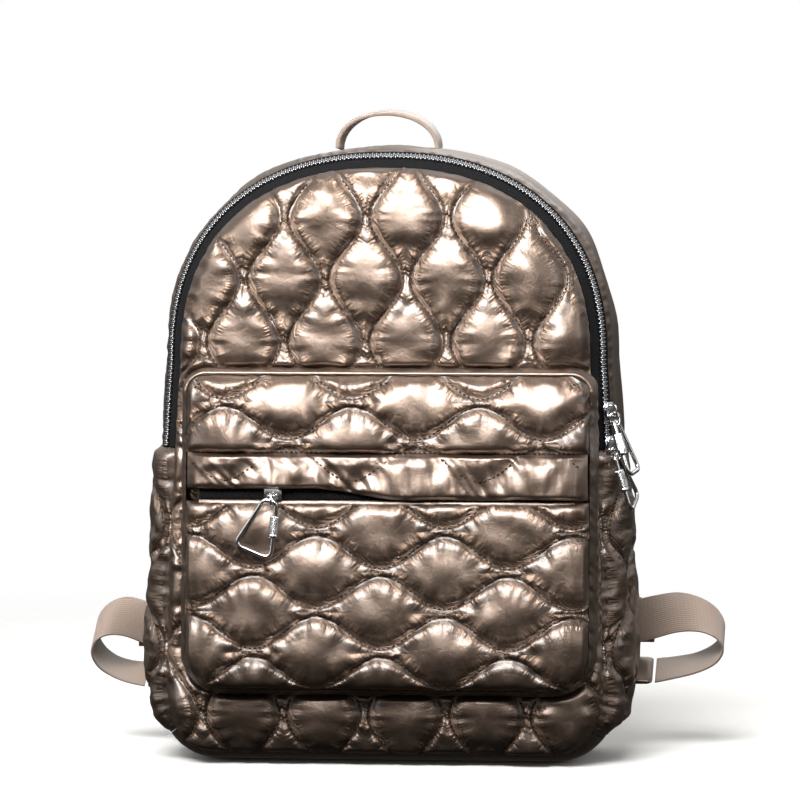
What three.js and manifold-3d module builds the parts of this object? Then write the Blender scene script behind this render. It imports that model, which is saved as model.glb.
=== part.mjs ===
import * as THREE from 'three';
import { mergeVertices } from 'three/addons/utils/BufferGeometryUtils.js';
import Module from 'manifold-3d';

const wasm = await Module();
wasm.setup();

// Quilted puffer backpack, in millimetres. The front faces -Y, +X is to the right of the picture,
// and the bag stands on z = 0 with its origin at the middle of the base.

// Clearances and walls
const gap = 0.3;
const wall = 3;
const tapeThick = 1;

// Body
const bodyWidth = 318;
const bodyHeight = 400;
const backFace = 60;
const frontSeamBase = -60;
const frontLean = 16;
const sidePuff = 4.5;
const sideTaper = 8;
const cornerWidth = 46;
const cornerHeight = 62;
const cornerFullness = 2.3;
const domeStart = 262;
const domeFullness = 2.3;
const sideSeamInset = 13;
const baseSeamInset = 7;
const seamRoll = 34;
const backSeamInset = 7;
const backRoll = 22;
const backPad = 6;
const bottomSeamHeight = 16;

// Front panel
const frontCrown = 9;
const frontRoll = 30;
const frontRollFullness = 2.2;
const seamFade = 9;
const pocketFade = 7;

// Quilting: ogee channels, upright on the body and lying across the pocket
const quiltPitch = 53;
const sideQuiltPitch = 50;
const sideFirstSeam = 17;
const rowsPerPeriod = 6;
const quiltPeriod = 80.5;
const quiltRise = 7;
const neckGap = 4.6;
const neckRow = 355;
const neckColumn = -24.7;
const puffFullness = 0.55;
const puffGrowth = 0.8;
const pocketQuiltPitch = 52;
const pocketQuiltPeriod = 82.5;
const pocketQuiltRise = 6;
const lowerNeckRow = 114.4;
const lowerNeckColumn = 0.8;
const upperNeckRow = 223;
const upperNeckColumn = -18.3;

// Pocket on the front
const pocketMargin = 28.5;
const pocketWidth = bodyWidth - 2 * pocketMargin;
const pocketShift = 4;
const pocketBottom = 51;
const pocketTop = 253;
const pocketBaseDepth = 18;
const pocketTopDepth = 11;
const pocketCrown = 6;
const pocketRoll = 26;
const pocketFlare = 4;
const pocketCornerLow = 24;
const pocketCornerHigh = 12;
const pocketTuck = 203;
const pocketSlotTop = 181;
const pocketSlotBottom = 172;
const weltLift = 4.5;
const weltPuff = 3;
const slotFade = 5;
const bindingThick = 2.4;

// Zips
const zipEndHeight = 205;
const zipHalfGap = 0.3;
const frontTapeDepth = 5.4;
const teethDepth = 4.6;
const rearTapeDepth = 3.4;
const teethLift = 1.4;
const coilHeight = 6;
const coilLift = 0.6;
const coilLow = pocketSlotBottom + 1.5;
const sliderLength = 11;
const sliderWidth = 8.6;
const sliderThick = 3.2;
const bailWire = 1.2;
const bailReach = 5;
const bailShare = 0.72;
const pocketSliderAcross = -69;
const sliderAboveEnd = 3;
const sliderSpacing = 22;

// Zip pulls: a ring link and a screw link with a knurled sleeve
const linkWire = 1.5;
const linkLength = 10.4;
const linkWidth = 8.6;
const linkSlack = 0.6;
const screwLinkWire = 2.8;
const sleeveRadius = 3.2;
const sleeveLength = 14.5;

// Webbing and straps
const webbingWidth = 30;
const webbingThick = 1.3;
const handleSpan = 66;
const handleRise = 24.4;
const handleDepth = 34;
const handleThick = 2.8;
const strapWidth = 58;
const strapEndWidth = 31;
const strapThick = 9;
const strapEndThick = 3;
const strapTopOut = 40;
const strapTopDrop = 30;
const strapStandOff = 20;
const adjusterHeight = 80;
const adjusterBack = 66;
const adjusterWire = 3;
const adjusterDepth = 20;
const adjusterTall = 37.4;
const strapEndShort = 13;
const adjusterLoopShort = 26;
const tailOut = 12;
const loopDrop = 32;
const loopForward = 22;
const tabOut = bodyWidth / 2 + 12.1;

// The two straps rest differently: how far each adjuster stands beside the body and higher than
// the other, and how far each open loop reaches past its adjuster
const strapRest = {
  right: { beside: -1.5, higher: 3, reach: 59 },
  left: { beside: 8, higher: -3, reach: 39 },
};
const tabThick = 4;
const tabReach = 9;

const fabric = { color: '#8d7766', roughness: 0.42, metalness: 0.45 };
const webbing = { color: '#a08b7c', roughness: 0.6, metalness: 0.1 };
const blackTape = { color: '#17171a', roughness: 0.8, metalness: 0 };
const nickel = { color: '#c9c9cc', roughness: 0.18, metalness: 1 };

// Closed solids

function signedVolume(points, faces) {
  let volume = 0;
  for (const [a, b, c] of faces) {
    volume += points[a].dot(new THREE.Vector3().crossVectors(points[b], points[c])) / 6;
  }
  return volume;
}

function solidGeometry(points, faces) {
  const outward = signedVolume(points, faces) > 0;
  const index = faces.flatMap(([a, b, c]) => (outward ? [a, b, c] : [a, c, b]));
  const geometry = new THREE.BufferGeometry();
  const positions = points.flatMap((point) => point.toArray());
  geometry.setAttribute('position', new THREE.Float32BufferAttribute(positions, 3));
  geometry.setIndex(index);
  return geometry;
}

// Skin over a row of sections with equally many points. An open row is closed by a ladder at each end.
// Points that face each other across a thin section are cut along matching diagonals.
function loft(sections, isRing = false) {
  const count = sections[0].length;
  const spans = isRing ? sections.length : sections.length - 1;
  const faces = [];
  for (let span = 0; span < spans; span += 1) {
    const near = span * count;
    const far = ((span + 1) % sections.length) * count;
    for (let side = 0; side < count; side += 1) {
      const next = (side + 1) % count;
      if (side < count / 2) {
        faces.push([near + side, near + next, far + next], [near + side, far + next, far + side]);
      } else {
        faces.push([near + side, near + next, far + side], [near + next, far + next, far + side]);
      }
    }
  }
  if (!isRing) {
    const last = (sections.length - 1) * count;
    for (let rung = 0; rung < count / 2 - 1; rung += 1) {
      const other = count - 1 - rung;
      faces.push([rung, other, other - 1], [rung, other - 1, rung + 1]);
      faces.push([last + rung, last + rung + 1, last + other - 1]);
      faces.push([last + rung, last + other - 1, last + other]);
    }
  }
  return solidGeometry(sections.flat(), faces);
}

function toSolid(geometry) {
  const bare = geometry.clone();
  bare.deleteAttribute('normal');
  bare.deleteAttribute('uv');
  const merged = mergeVertices(bare);
  const vertProperties = new Float32Array(merged.attributes.position.array);
  const triVerts = new Uint32Array(merged.index.array);
  return new wasm.Manifold(new wasm.Mesh({ numProp: 3, vertProperties, triVerts }));
}

function toGeometry(solid) {
  const mesh = solid.getMesh();
  const geometry = new THREE.BufferGeometry();
  geometry.setAttribute('position', new THREE.Float32BufferAttribute(mesh.vertProperties, 3));
  geometry.setIndex(Array.from(mesh.triVerts));
  return geometry;
}

const degrees = THREE.MathUtils.degToRad;
const group = new THREE.Group();

function addPiece(name, geometry, finish) {
  const mesh = new THREE.Mesh(geometry, new THREE.MeshStandardMaterial(finish));
  mesh.name = name;
  group.add(mesh);
}

function steps(from, to, count) {
  return Array.from({ length: count + 1 }, (_, step) => from + ((to - from) * step) / count);
}

// Outline of the body seen from the front

const halfWidth = bodyWidth / 2 - sidePuff;
const domeHalfWidth = halfWidth - sideTaper;

function cornerPoint(angle) {
  const out = Math.sin(angle) ** (2 / cornerFullness);
  const drop = Math.cos(angle) ** (2 / cornerFullness);
  return [halfWidth - cornerWidth + cornerWidth * out, cornerHeight - cornerHeight * drop];
}

function domePoint(angle) {
  const out = Math.cos(angle) ** (2 / domeFullness);
  const rise = Math.sin(angle) ** (2 / domeFullness);
  return [domeHalfWidth * out, domeStart + (bodyHeight - domeStart) * rise];
}

function sidePoint(share) {
  return [halfWidth - sideTaper * share ** 1.6, cornerHeight + (domeStart - cornerHeight) * share];
}

// Right half of the outline, from the middle of the base to the middle of the top
const rim = [
  [0, 0],
  ...steps(0, Math.PI / 2, 18).map(cornerPoint),
  ...steps(0, 1, 10).slice(1).map(sidePoint),
  ...steps(0, Math.PI / 2, 40).slice(1).map(domePoint),
];
const rimLengths = [0];
rim.slice(1).forEach(([x, z], place) => {
  rimLengths.push(rimLengths[place] + Math.hypot(x - rim[place][0], z - rim[place][1]));
});
const rimLength = rimLengths.at(-1);

function rimPoint(length) {
  const span = Math.max(1, rimLengths.findIndex((end) => end >= Math.min(length, rimLength - 1e-6)));
  const share = (length - rimLengths[span - 1]) / (rimLengths[span] - rimLengths[span - 1]);
  const [ax, az] = rim[span - 1];
  const [bx, bz] = rim[span];
  return [ax + (bx - ax) * share, az + (bz - az) * share];
}

// Place on the outline, by its length from the middle of the base: negative lengths lie on the left,
// and lengths past the middle of the top run down the left side.
function rimAt(length) {
  const wrapped = length > rimLength ? length - 2 * rimLength : length;
  const side = wrapped < 0 ? -1 : 1;
  const along = Math.abs(wrapped);
  const reach = 3;
  const [x, z] = rimPoint(along);
  const [lowX, lowZ] = rimPoint(Math.max(0, along - reach));
  const [highX, highZ] = rimPoint(Math.min(rimLength, along + reach));
  const run = Math.hypot(highX - lowX, highZ - lowZ);
  const isMiddle = along < reach || along > rimLength - reach;
  const nx = isMiddle ? 0 : (highZ - lowZ) / run;
  const nz = isMiddle ? Math.sign(along - reach) : -(highX - lowX) / run;
  return { x: side * x, z, nx: side * nx, nz };
}

function rimLengthAt(height) {
  const span = rim.findIndex(([, z]) => z >= height);
  const share = (height - rim[span - 1][1]) / (rim[span][1] - rim[span - 1][1]);
  return rimLengths[span - 1] + (rimLengths[span] - rimLengths[span - 1]) * share;
}

const frontSeam = (z) => frontSeamBase + (frontLean * z) / bodyHeight;
const seamInset = (place) => sideSeamInset + (baseSeamInset - sideSeamInset) * Math.max(0, -place.nz);
const gussetBack = backFace - backPad - gap;

function insetOutline(inset, count) {
  return steps(0, 2 * rimLength, count).slice(0, count).map((length) => {
    const place = rimAt(length);
    const amount = inset(place);
    return [place.x - place.nx * amount, place.z - place.nz * amount];
  });
}

function prism(outline, near, far) {
  return loft([near, far].map((y) => outline.map(([x, z]) => new THREE.Vector3(x, y, z))));
}

function distanceTo(outline, x, z) {
  let nearest = Infinity;
  outline.forEach(([ax, az], place) => {
    const [bx, bz] = outline[(place + 1) % outline.length];
    const dx = bx - ax;
    const dz = bz - az;
    const share = THREE.MathUtils.clamp(((x - ax) * dx + (z - az) * dz) / (dx * dx + dz * dz), 0, 1);
    nearest = Math.min(nearest, Math.hypot(x - ax - share * dx, z - az - share * dz));
  });
  return nearest;
}

function isInside(outline, x, z) {
  let inside = false;
  outline.forEach(([ax, az], place) => {
    const [bx, bz] = outline[(place + 1) % outline.length];
    if (az > z !== bz > z && x < ax + ((bx - ax) * (z - az)) / (bz - az)) {
      inside = !inside;
    }
  });
  return inside;
}

// Depth inside an outline, negative outside it
const depthInside = (outline, x, z) => distanceTo(outline, x, z) * (isInside(outline, x, z) ? 1 : -1);

// Ogee quilting: wavy seams in mirrored pairs, which nearly meet at the necks and swell apart between them

function quiltSeam(quilt, seam, along) {
  const sway = quilt.pitch / 4 - neckGap / 2;
  const phase = Math.cos((2 * Math.PI * (along - quilt.neckAlong)) / quilt.period);
  return quilt.neckAcross + (seam * quilt.pitch) / 2 + (seam % 2 === 0 ? 1 : -1) * sway * phase;
}

// Column numbers count seams, and their fractions lie between two seams
function quiltAcross(quilt, column, along) {
  const seam = Math.floor(column + 1e-6);
  const share = column - seam;
  return quiltSeam(quilt, seam, along) * (1 - share) + quiltSeam(quilt, seam + 1, along) * share;
}

function quiltPuff(quilt, column, along) {
  const seam = Math.floor(column + 1e-6);
  const share = THREE.MathUtils.clamp(column - seam, 0, 1);
  const width = quiltSeam(quilt, seam + 1, along) - quiltSeam(quilt, seam, along);
  const room = width / (quilt.pitch - neckGap);
  return quilt.rise * (4 * share * (1 - share)) ** puffFullness * room ** puffGrowth;
}

const quiltColumns = (first, last, perChannel) => steps(first, last, (last - first) * perChannel);

// Front panel

const frontOutline = insetOutline(seamInset, 84);
const share01 = (value) => THREE.MathUtils.clamp(value, 0, 1);

function frontBase(x, z) {
  const rolled = 1 - share01(depthInside(frontOutline, x, z) / frontRoll);
  return frontSeam(z) - gap - wall - frontCrown * (1 - rolled ** frontRollFullness);
}

const pocketLeft = pocketShift - pocketWidth / 2;
const pocketRight = pocketShift + pocketWidth / 2;
const pocketMiddle = (pocketLeft + pocketRight) / 2;

// Rounded outline of the pocket grown by an amount, from the middle of its lower edge
function pocketOutline(grow) {
  const corner = (radius, turn, atRight, atTop) => steps(0, 1, 5).map((share) => {
    const angle = turn + (share * Math.PI) / 2;
    const full = radius + grow;
    const x = (atRight ? pocketRight - radius : pocketLeft + radius) + full * Math.cos(angle);
    const z = (atTop ? pocketTop - radius : pocketBottom + radius) + full * Math.sin(angle);
    return [x, z];
  });
  return [
    [pocketMiddle, pocketBottom - grow],
    ...corner(pocketCornerLow, -Math.PI / 2, true, false),
    ...corner(pocketCornerHigh, 0, true, true),
    [pocketMiddle, pocketTop + grow],
    ...corner(pocketCornerHigh, Math.PI / 2, false, true),
    ...corner(pocketCornerLow, Math.PI, false, false),
  ];
}
const pocketRim = pocketOutline(0);
const pocketFoot = pocketOutline(pocketFlare);

const bodyQuilt = {
  pitch: quiltPitch,
  period: quiltPeriod,
  rise: quiltRise,
  neckAcross: neckColumn,
  neckAlong: neckRow,
};

function frontSurface(column, z) {
  const x = quiltAcross(bodyQuilt, column, z);
  const fromSeam = share01(depthInside(frontOutline, x, z) / seamFade);
  const fromPocket = share01((-depthInside(pocketFoot, x, z) - 1) / pocketFade);
  const puff = quiltPuff(bodyQuilt, column, z) * Math.min(fromSeam, fromPocket);
  return new THREE.Vector3(x, frontBase(x, z) - puff, z);
}

// Block between a surface of sections and a flat plane behind it
function reliefBlock(rows, behind) {
  const flat = (p) => new THREE.Vector3(p.x, behind, p.z);
  return toSolid(loft(rows.map((row) => [...row, ...row.map(flat).reverse()])));
}

// Block behind the quilted front, moved forward by an amount. Where the pocket covers it, only its
// sides need the fine columns.
function frontBlock(forward) {
  const rowStep = quiltPeriod / rowsPerPeriod;
  const firstRow = neckRow - Math.ceil(neckRow / rowStep) * rowStep;
  const rowCount = Math.ceil((bodyHeight - firstRow) / rowStep);
  const heights = steps(firstRow, firstRow + rowCount * rowStep, rowCount);
  const edgeColumn = Math.ceil((2 * (halfWidth - neckColumn)) / quiltPitch) + 1;
  const columns = quiltColumns(-edgeColumn + 2, edgeColumn, 3);
  const fromPocket = (column) => Math.abs(neckColumn + (column * quiltPitch) / 2 - pocketShift);
  const outerColumns = columns.filter((column) => fromPocket(column) > pocketWidth / 3);
  const covered = (z) => z > pocketBottom + rowStep && z < pocketTop - rowStep;
  const levels = [
    { rows: heights.filter((z) => z < pocketTop / 2 && !covered(z)), columns },
    { rows: heights.filter(covered), columns: outerColumns },
    { rows: heights.filter((z) => z > pocketTop / 2 && !covered(z)), columns },
  ];
  levels[0].rows.push(levels[1].rows[0]);
  levels[2].rows.unshift(levels[1].rows.at(-1));
  const point = (column, z) => frontSurface(column, z).add(new THREE.Vector3(0, -forward, 0));
  const sections = (level) => level.rows.map((z) => level.columns.map((column) => point(column, z)));
  return levels
    .map((level) => reliefBlock(sections(level), backFace))
    .reduce((joined, next) => joined.add(next));
}

{
  const coarseHeights = steps(-5, bodyHeight + 5, 20);
  const coarseAcross = steps(-halfWidth, halfWidth, 16);
  const inner = reliefBlock(
    coarseHeights.map((z) => coarseAcross.map((x) => new THREE.Vector3(x, frontBase(x, z) + wall, z))),
    backFace + wall,
  );
  const cutter = toSolid(prism(frontOutline, frontSeamBase * 2, backFace));
  addPiece('front_panel', toGeometry(frontBlock(0).subtract(inner).intersect(cutter)), fabric);
}

// Gusset surface: the band that runs round the body from the front seam to the back seam

function gussetInset(place, fromSeam, depth) {
  const front = Math.max(0, 1 - fromSeam / seamRoll);
  const back = Math.max(0, 1 - (depth - fromSeam) / backRoll);
  return seamInset(place) * front ** 3 + backSeamInset * back ** 2;
}

function gussetPoint(length, fromSeam, lift) {
  const place = rimAt(length);
  const start = frontSeam(place.z - place.nz * seamInset(place));
  const depth = gussetBack - start;
  const small = 0.5;
  const inset = gussetInset(place, fromSeam, depth);
  const before = gussetInset(place, fromSeam - small, depth);
  const after = gussetInset(place, fromSeam + small, depth);
  const slope = (after - before) / (2 * small);
  const steep = Math.hypot(1, slope);
  const out = lift / steep - inset;
  const y = start + fromSeam + (lift * slope) / steep;
  return new THREE.Vector3(place.x + place.nx * out, y, place.z + place.nz * out);
}

function gussetDepth(length) {
  const place = rimAt(length);
  return gussetBack - frontSeam(place.z - place.nz * seamInset(place));
}

// Strip of the gusset between two lengths. depths(length) gives its columns, and top and under are
// the lifts of its outer and inner faces.
function gussetStrip(lengths, depths, top, under) {
  return loft(lengths.map((length) => {
    const columns = depths(length);
    const outer = columns.map((fromSeam, column) => gussetPoint(length, fromSeam, top(length, column)));
    const inner = columns.map((fromSeam) => gussetPoint(length, fromSeam, under)).reverse();
    return [...outer, ...inner];
  }));
}

const bottomSeam = rimLengthAt(bottomSeamHeight);
const zipEnd = rimLengthAt(zipEndHeight);
const zipStart = 2 * rimLength - zipEnd;
const tapeEdge = frontTapeDepth + teethDepth + rearTapeDepth;

const sideQuilt = {
  pitch: sideQuiltPitch,
  period: quiltPeriod,
  rise: sidePuff,
  neckAcross: sideFirstSeam,
  neckAlong: rimLengthAt(neckRow - 3 * quiltPeriod),
};

// Quilt columns across a side panel, between its two plain edges
const sideColumns = quiltColumns(0, 3, 2);

function sideDepths(length) {
  const inner = sideColumns.map((column) => quiltAcross(sideQuilt, column, length));
  return [gap, ...inner, gussetDepth(length) - gap];
}

function sideLift(length, place) {
  const isEdge = place === 0 || place > sideColumns.length;
  return isEdge ? 0 : quiltPuff(sideQuilt, sideColumns[place - 1], length);
}

for (const [side, sign] of [['right', 1], ['left', -1]]) {
  const lengths = steps(sign * (bottomSeam + gap), sign * (zipEnd - gap), 14);
  const strip = gussetStrip(
    lengths,
    (length) => sideDepths(Math.abs(length)),
    (length, place) => sideLift(Math.abs(length), place),
    -wall,
  );
  addPiece(`side_panel_${side}`, strip, fabric);
}

{
  const lengths = steps(-bottomSeam, bottomSeam, 12);
  const frontDepths = [gap, seamRoll * 0.25, seamRoll * 0.6, seamRoll];
  const backDepths = (length) => [gussetDepth(length) - backRoll, gussetDepth(length) - gap];
  const depths = (length) => [...frontDepths, ...backDepths(length)];
  addPiece('bottom_panel', gussetStrip(lengths, depths, () => 0, -wall), fabric);
}

{
  const lengths = steps(zipEnd, zipStart, 36);
  const backDepths = (length) => [gussetDepth(length) - backRoll, gussetDepth(length) - gap];
  const depths = (length) => [tapeEdge + gap, seamRoll, ...backDepths(length)];
  addPiece('top_gusset', gussetStrip(lengths, depths, () => 0, -wall), fabric);
}

// Back panel: a flat pad whose rim is rolled

{
  const rolled = (inset, y) => insetOutline(() => inset, 48).map(([x, z]) => new THREE.Vector3(x, y, z));
  const sections = [
    rolled(backSeamInset - 1, backFace - backPad),
    rolled(backSeamInset - 2, backFace - backPad / 2),
    rolled(backSeamInset + 4, backFace),
  ];
  addPiece('back_panel', loft(sections), fabric);
}

// Main zip: two tapes with the teeth between them, on the front of the gusset

{
  const lengths = steps(zipEnd, zipStart, 36);
  const tape = (from, to) => gussetStrip(lengths, () => [from, to], () => 0, -tapeThick);
  const teethStart = frontTapeDepth;
  const teethEnd = frontTapeDepth + teethDepth;
  addPiece('zip_tape_front', tape(gap, teethStart - zipHalfGap), blackTape);
  const teeth = gussetStrip(lengths, () => [teethStart, teethEnd], () => teethLift, -tapeThick);
  addPiece('zip_teeth', teeth, nickel);
  addPiece('zip_tape_rear', tape(teethEnd + zipHalfGap, tapeEdge), blackTape);
}

// Pocket

function pocketEdge(z) {
  const rise = (z - pocketBottom) / (pocketTop - pocketBottom);
  const depth = pocketBaseDepth + (pocketTopDepth - pocketBaseDepth) * rise;
  return frontSeam(z) - gap - wall - frontCrown - depth;
}

function pocketBase(x, z) {
  const rolled = 1 - share01(depthInside(pocketRim, x, z) / pocketRoll);
  return pocketEdge(z) - pocketCrown * (1 - rolled ** 2);
}

function pocketQuilt(neckAlong, neckAcross, rise) {
  return {
    pitch: pocketQuiltPitch,
    period: pocketQuiltPeriod,
    rise,
    neckAcross,
    neckAlong,
  };
}

// Panel of the pocket between two heights, lifted off the pocket's face
function pocketPanel(quilt, low, high, lift) {
  const firstColumn = Math.floor((2 * (low - quilt.neckAcross)) / quilt.pitch) - 1;
  const lastColumn = Math.ceil((2 * (high - quilt.neckAcross)) / quilt.pitch) + 1;
  const columns = quiltColumns(firstColumn, lastColumn, 3);
  const along = steps(pocketLeft - wall, pocketRight + wall, 19);
  const outer = reliefBlock(
    columns.map((column) => along.map((x) => {
      const z = quiltAcross(quilt, column, x);
      const fromRim = depthInside(pocketRim, x, z) / pocketFade;
      const fromEnds = Math.min(high - z, z - low) / slotFade;
      const fade = share01(Math.min(fromRim, fromEnds));
      return new THREE.Vector3(x, pocketBase(x, z) - lift - fade * quiltPuff(quilt, column, x), z);
    })),
    0,
  );
  const coarse = steps(pocketLeft - wall, pocketRight + wall, 10);
  const innerPoint = (x, z) => new THREE.Vector3(x, pocketBase(x, z) - lift + wall, z);
  const inner = reliefBlock(
    steps(low - wall, high + wall, 5).map((z) => coarse.map((x) => innerPoint(x, z))),
    wall,
  );
  const band = [
    [pocketLeft - 2 * wall, low],
    [pocketRight + 2 * wall, low],
    [pocketRight + 2 * wall, high],
    [pocketLeft - 2 * wall, high],
  ];
  const face = toSolid(prism(pocketRim, frontSeamBase * 2, 0));
  const slice = toSolid(prism(band, frontSeamBase * 3, wall));
  return toGeometry(outer.subtract(inner).intersect(face).intersect(slice));
}

const lowerQuilt = pocketQuilt(lowerNeckColumn, lowerNeckRow, pocketQuiltRise);
const upperQuilt = pocketQuilt(upperNeckColumn, upperNeckRow, pocketQuiltRise);
const weltQuilt = pocketQuilt(upperNeckColumn, upperNeckRow, weltPuff);
addPiece('pocket_lower_panel', pocketPanel(lowerQuilt, pocketBottom, pocketSlotBottom, 0), fabric);
addPiece('pocket_upper_panel', pocketPanel(upperQuilt, pocketTuck + gap, pocketTop, 0), fabric);
addPiece('pocket_welt', pocketPanel(weltQuilt, pocketSlotTop, pocketTuck, weltLift), fabric);

// Pocket gusset: a ring from the rim of the pocket's face back to the front panel

{
  const rings = pocketRim.map(([x, z], place) => {
    const [footX, footZ] = pocketFoot[place];
    const outX = (footX - x) / pocketFlare;
    const outZ = (footZ - z) / pocketFlare;
    const near = pocketEdge(z) + wall + gap;
    const far = frontBase(footX, footZ) + wall;
    const at = (grow, y) => new THREE.Vector3(x + outX * grow, y, z + outZ * grow);
    return [
      at(0, near),
      at(pocketFlare, (near + far) / 2),
      at(pocketFlare, far),
      at(pocketFlare - wall, far),
      at(pocketFlare - wall, (near + far) / 2),
      at(-wall, near),
    ];
  });
  const ring = toSolid(loft(rings, true));
  addPiece('pocket_gusset', toGeometry(ring.subtract(frontBlock(gap))), fabric);
}

// Bound edge along the top of the pocket, turned down at both ends

{
  const radius = bindingThick / 2;
  const reach = pocketOutline(radius + gap);
  const cornerPoints = (reach.length - 2) / 4;
  const route = reach.slice(cornerPoints + 1, reach.length - cornerPoints);
  const sections = route.map(([x, z], place) => {
    const [beforeX, beforeZ] = route[Math.max(0, place - 1)];
    const [afterX, afterZ] = route[Math.min(route.length - 1, place + 1)];
    const out = new THREE.Vector3(afterZ - beforeZ, 0, beforeX - afterX).normalize();
    const centre = new THREE.Vector3(x, pocketEdge(z) + radius, z);
    return steps(0, 2 * Math.PI, 6).slice(0, 6).map((turn) => {
      const side = new THREE.Vector3(0, Math.sin(turn), 0).addScaledVector(out, Math.cos(turn));
      return side.multiplyScalar(radius).add(centre);
    });
  });
  addPiece('pocket_binding', loft(sections), fabric);
}

// Pocket zip: black tape behind the slot, with a coil along it

{
  const across = steps(pocketLeft + wall * 3, pocketRight - wall * 3, 12);
  const strip = (low, high, front, thick) => loft(across.map((x) => {
    const face = (z, back) => new THREE.Vector3(x, pocketBase(x, z) + front + back, z);
    return [face(low, 0), face(high, 0), face(high, thick), face(low, thick)];
  }));
  const coil = strip(coilLow, coilLow + coilHeight, -coilLift, coilLift + tapeThick);
  const tape = strip(pocketSlotBottom + gap, pocketTuck, tapeThick + gap, tapeThick);
  addPiece('pocket_zip_coil', coil, blackTape);
  addPiece('pocket_zip_tape', tape, blackTape);
}

// Sliders and pulls. Each is built round its own origin and then placed: the slider lies on the zip
// with its length along local X, local -Y points out of the bag, and local -Z is down the cloth.

function boxAt(width, depth, height, x, y, z) {
  const box = new THREE.BoxGeometry(width, depth, height);
  box.translate(x, y, z);
  return toSolid(box);
}

function sliderSolid() {
  const plate = new THREE.Shape();
  const half = sliderLength / 2;
  plate.moveTo(-half, -sliderWidth / 2);
  plate.lineTo(half * 0.4, -sliderWidth / 2);
  plate.lineTo(half, -sliderWidth / 3);
  plate.lineTo(half, sliderWidth / 3);
  plate.lineTo(half * 0.4, sliderWidth / 2);
  plate.lineTo(-half, sliderWidth / 2);
  const body = new THREE.ExtrudeGeometry(plate, { depth: sliderThick, bevelEnabled: false });
  body.rotateX(Math.PI / 2);
  const bar = sliderLength * bailShare;
  const crest = boxAt(bar, bailWire, bailWire, 0, -sliderThick - bailReach + bailWire / 2, 0);
  const footOut = bar / 2 - bailWire / 2;
  const footLength = bailReach + bailWire / 2;
  const footMiddle = -sliderThick - footLength / 2 + bailWire / 2;
  const foot = (x) => boxAt(bailWire, footLength, bailWire, x, footMiddle, 0);
  return toSolid(body).add(crest).add(foot(footOut)).add(foot(-footOut));
}

// Ring of round wire in the local YZ plane, hung so that the bail passes through its top
function linkGeometry() {
  const straight = (linkLength - linkWidth) / 2;
  const radius = (linkWidth - linkWire) / 2;
  const sections = steps(0, 2 * Math.PI, 14).slice(0, 14).map((angle) => {
    const shift = Math.sin(angle) >= -1e-9 ? straight : -straight;
    const out = new THREE.Vector3(0, Math.cos(angle), Math.sin(angle));
    const centre = out.clone().multiplyScalar(radius).add(new THREE.Vector3(0, 0, shift));
    return steps(0, 2 * Math.PI, 5).slice(0, 5).map((turn) => {
      const side = new THREE.Vector3(Math.sin(turn), 0, 0).addScaledVector(out, Math.cos(turn));
      return side.multiplyScalar(linkWire / 2).add(centre);
    });
  });
  return loft(sections, true);
}

// Screw link in the local XZ plane, hung from the origin at its narrow top. The wire is open on the
// straight side, where the sleeve closes it.
const screwLinkCorners = [
  { x: 1.3, z: -20, radius: 0 },
  { x: -0.5, z: -37.5, radius: 7 },
  { x: -24, z: -27.5, radius: 5.5 },
  { x: -4.8, z: 1.4, radius: 3 },
  { x: 3.2, z: -0.8, radius: 2.4 },
  { x: 2, z: -13, radius: 0 },
];

function roundedRoute(corners) {
  const route = new THREE.CurvePath();
  let from = new THREE.Vector3(corners[0].x, 0, corners[0].z);
  corners.slice(1, -1).forEach((corner, place) => {
    const here = new THREE.Vector3(corner.x, 0, corner.z);
    const before = new THREE.Vector3(corners[place].x, 0, corners[place].z);
    const after = new THREE.Vector3(corners[place + 2].x, 0, corners[place + 2].z);
    const cutIn = here.clone().addScaledVector(before.sub(here).normalize(), corner.radius);
    const cutOut = here.clone().addScaledVector(after.sub(here).normalize(), corner.radius);
    route.add(new THREE.LineCurve3(from, cutIn));
    route.add(new THREE.QuadraticBezierCurve3(cutIn, here, cutOut));
    from = cutOut;
  });
  const end = corners.at(-1);
  route.add(new THREE.LineCurve3(from, new THREE.Vector3(end.x, 0, end.z)));
  return route;
}

function screwLinkGeometry() {
  const route = roundedRoute(screwLinkCorners);
  const samples = 20;
  const sections = steps(0, 1, samples).map((share) => {
    const centre = route.getPointAt(share);
    const tangent = route.getTangentAt(share);
    const out = new THREE.Vector3(tangent.z, 0, -tangent.x);
    return steps(0, 2 * Math.PI, 6).slice(0, 6).map((turn) => {
      const side = new THREE.Vector3(0, Math.sin(turn), 0).addScaledVector(out, Math.cos(turn));
      return side.multiplyScalar(screwLinkWire / 2).add(centre);
    });
  });
  return loft(sections);
}

function sleeveGeometry() {
  const bore = screwLinkWire / 2 + gap;
  const half = sleeveLength / 2;
  const profile = [
    new THREE.Vector2(bore, -half),
    new THREE.Vector2(sleeveRadius, -half),
    new THREE.Vector2(sleeveRadius, half),
    new THREE.Vector2(bore, half),
    new THREE.Vector2(bore, -half),
  ];
  const sleeve = new THREE.LatheGeometry(profile, 10);
  sleeve.rotateX(Math.PI / 2);
  const top = screwLinkCorners.at(-1);
  const low = screwLinkCorners[0];
  const lean = Math.atan2(top.x - low.x, top.z - low.z);
  sleeve.rotateY(lean);
  sleeve.translate((top.x + low.x) / 2, 0, (top.z + low.z) / 2);
  return sleeve;
}

const bailHeight = sliderThick + bailReach - bailWire / 2;
const linkHang = linkLength / 2 - linkWire - bailWire / 2 - linkSlack;
const screwLinkHang = linkLength - 2 * linkWire - bailWire / 2 - 2 * linkSlack - screwLinkWire / 2;

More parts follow.
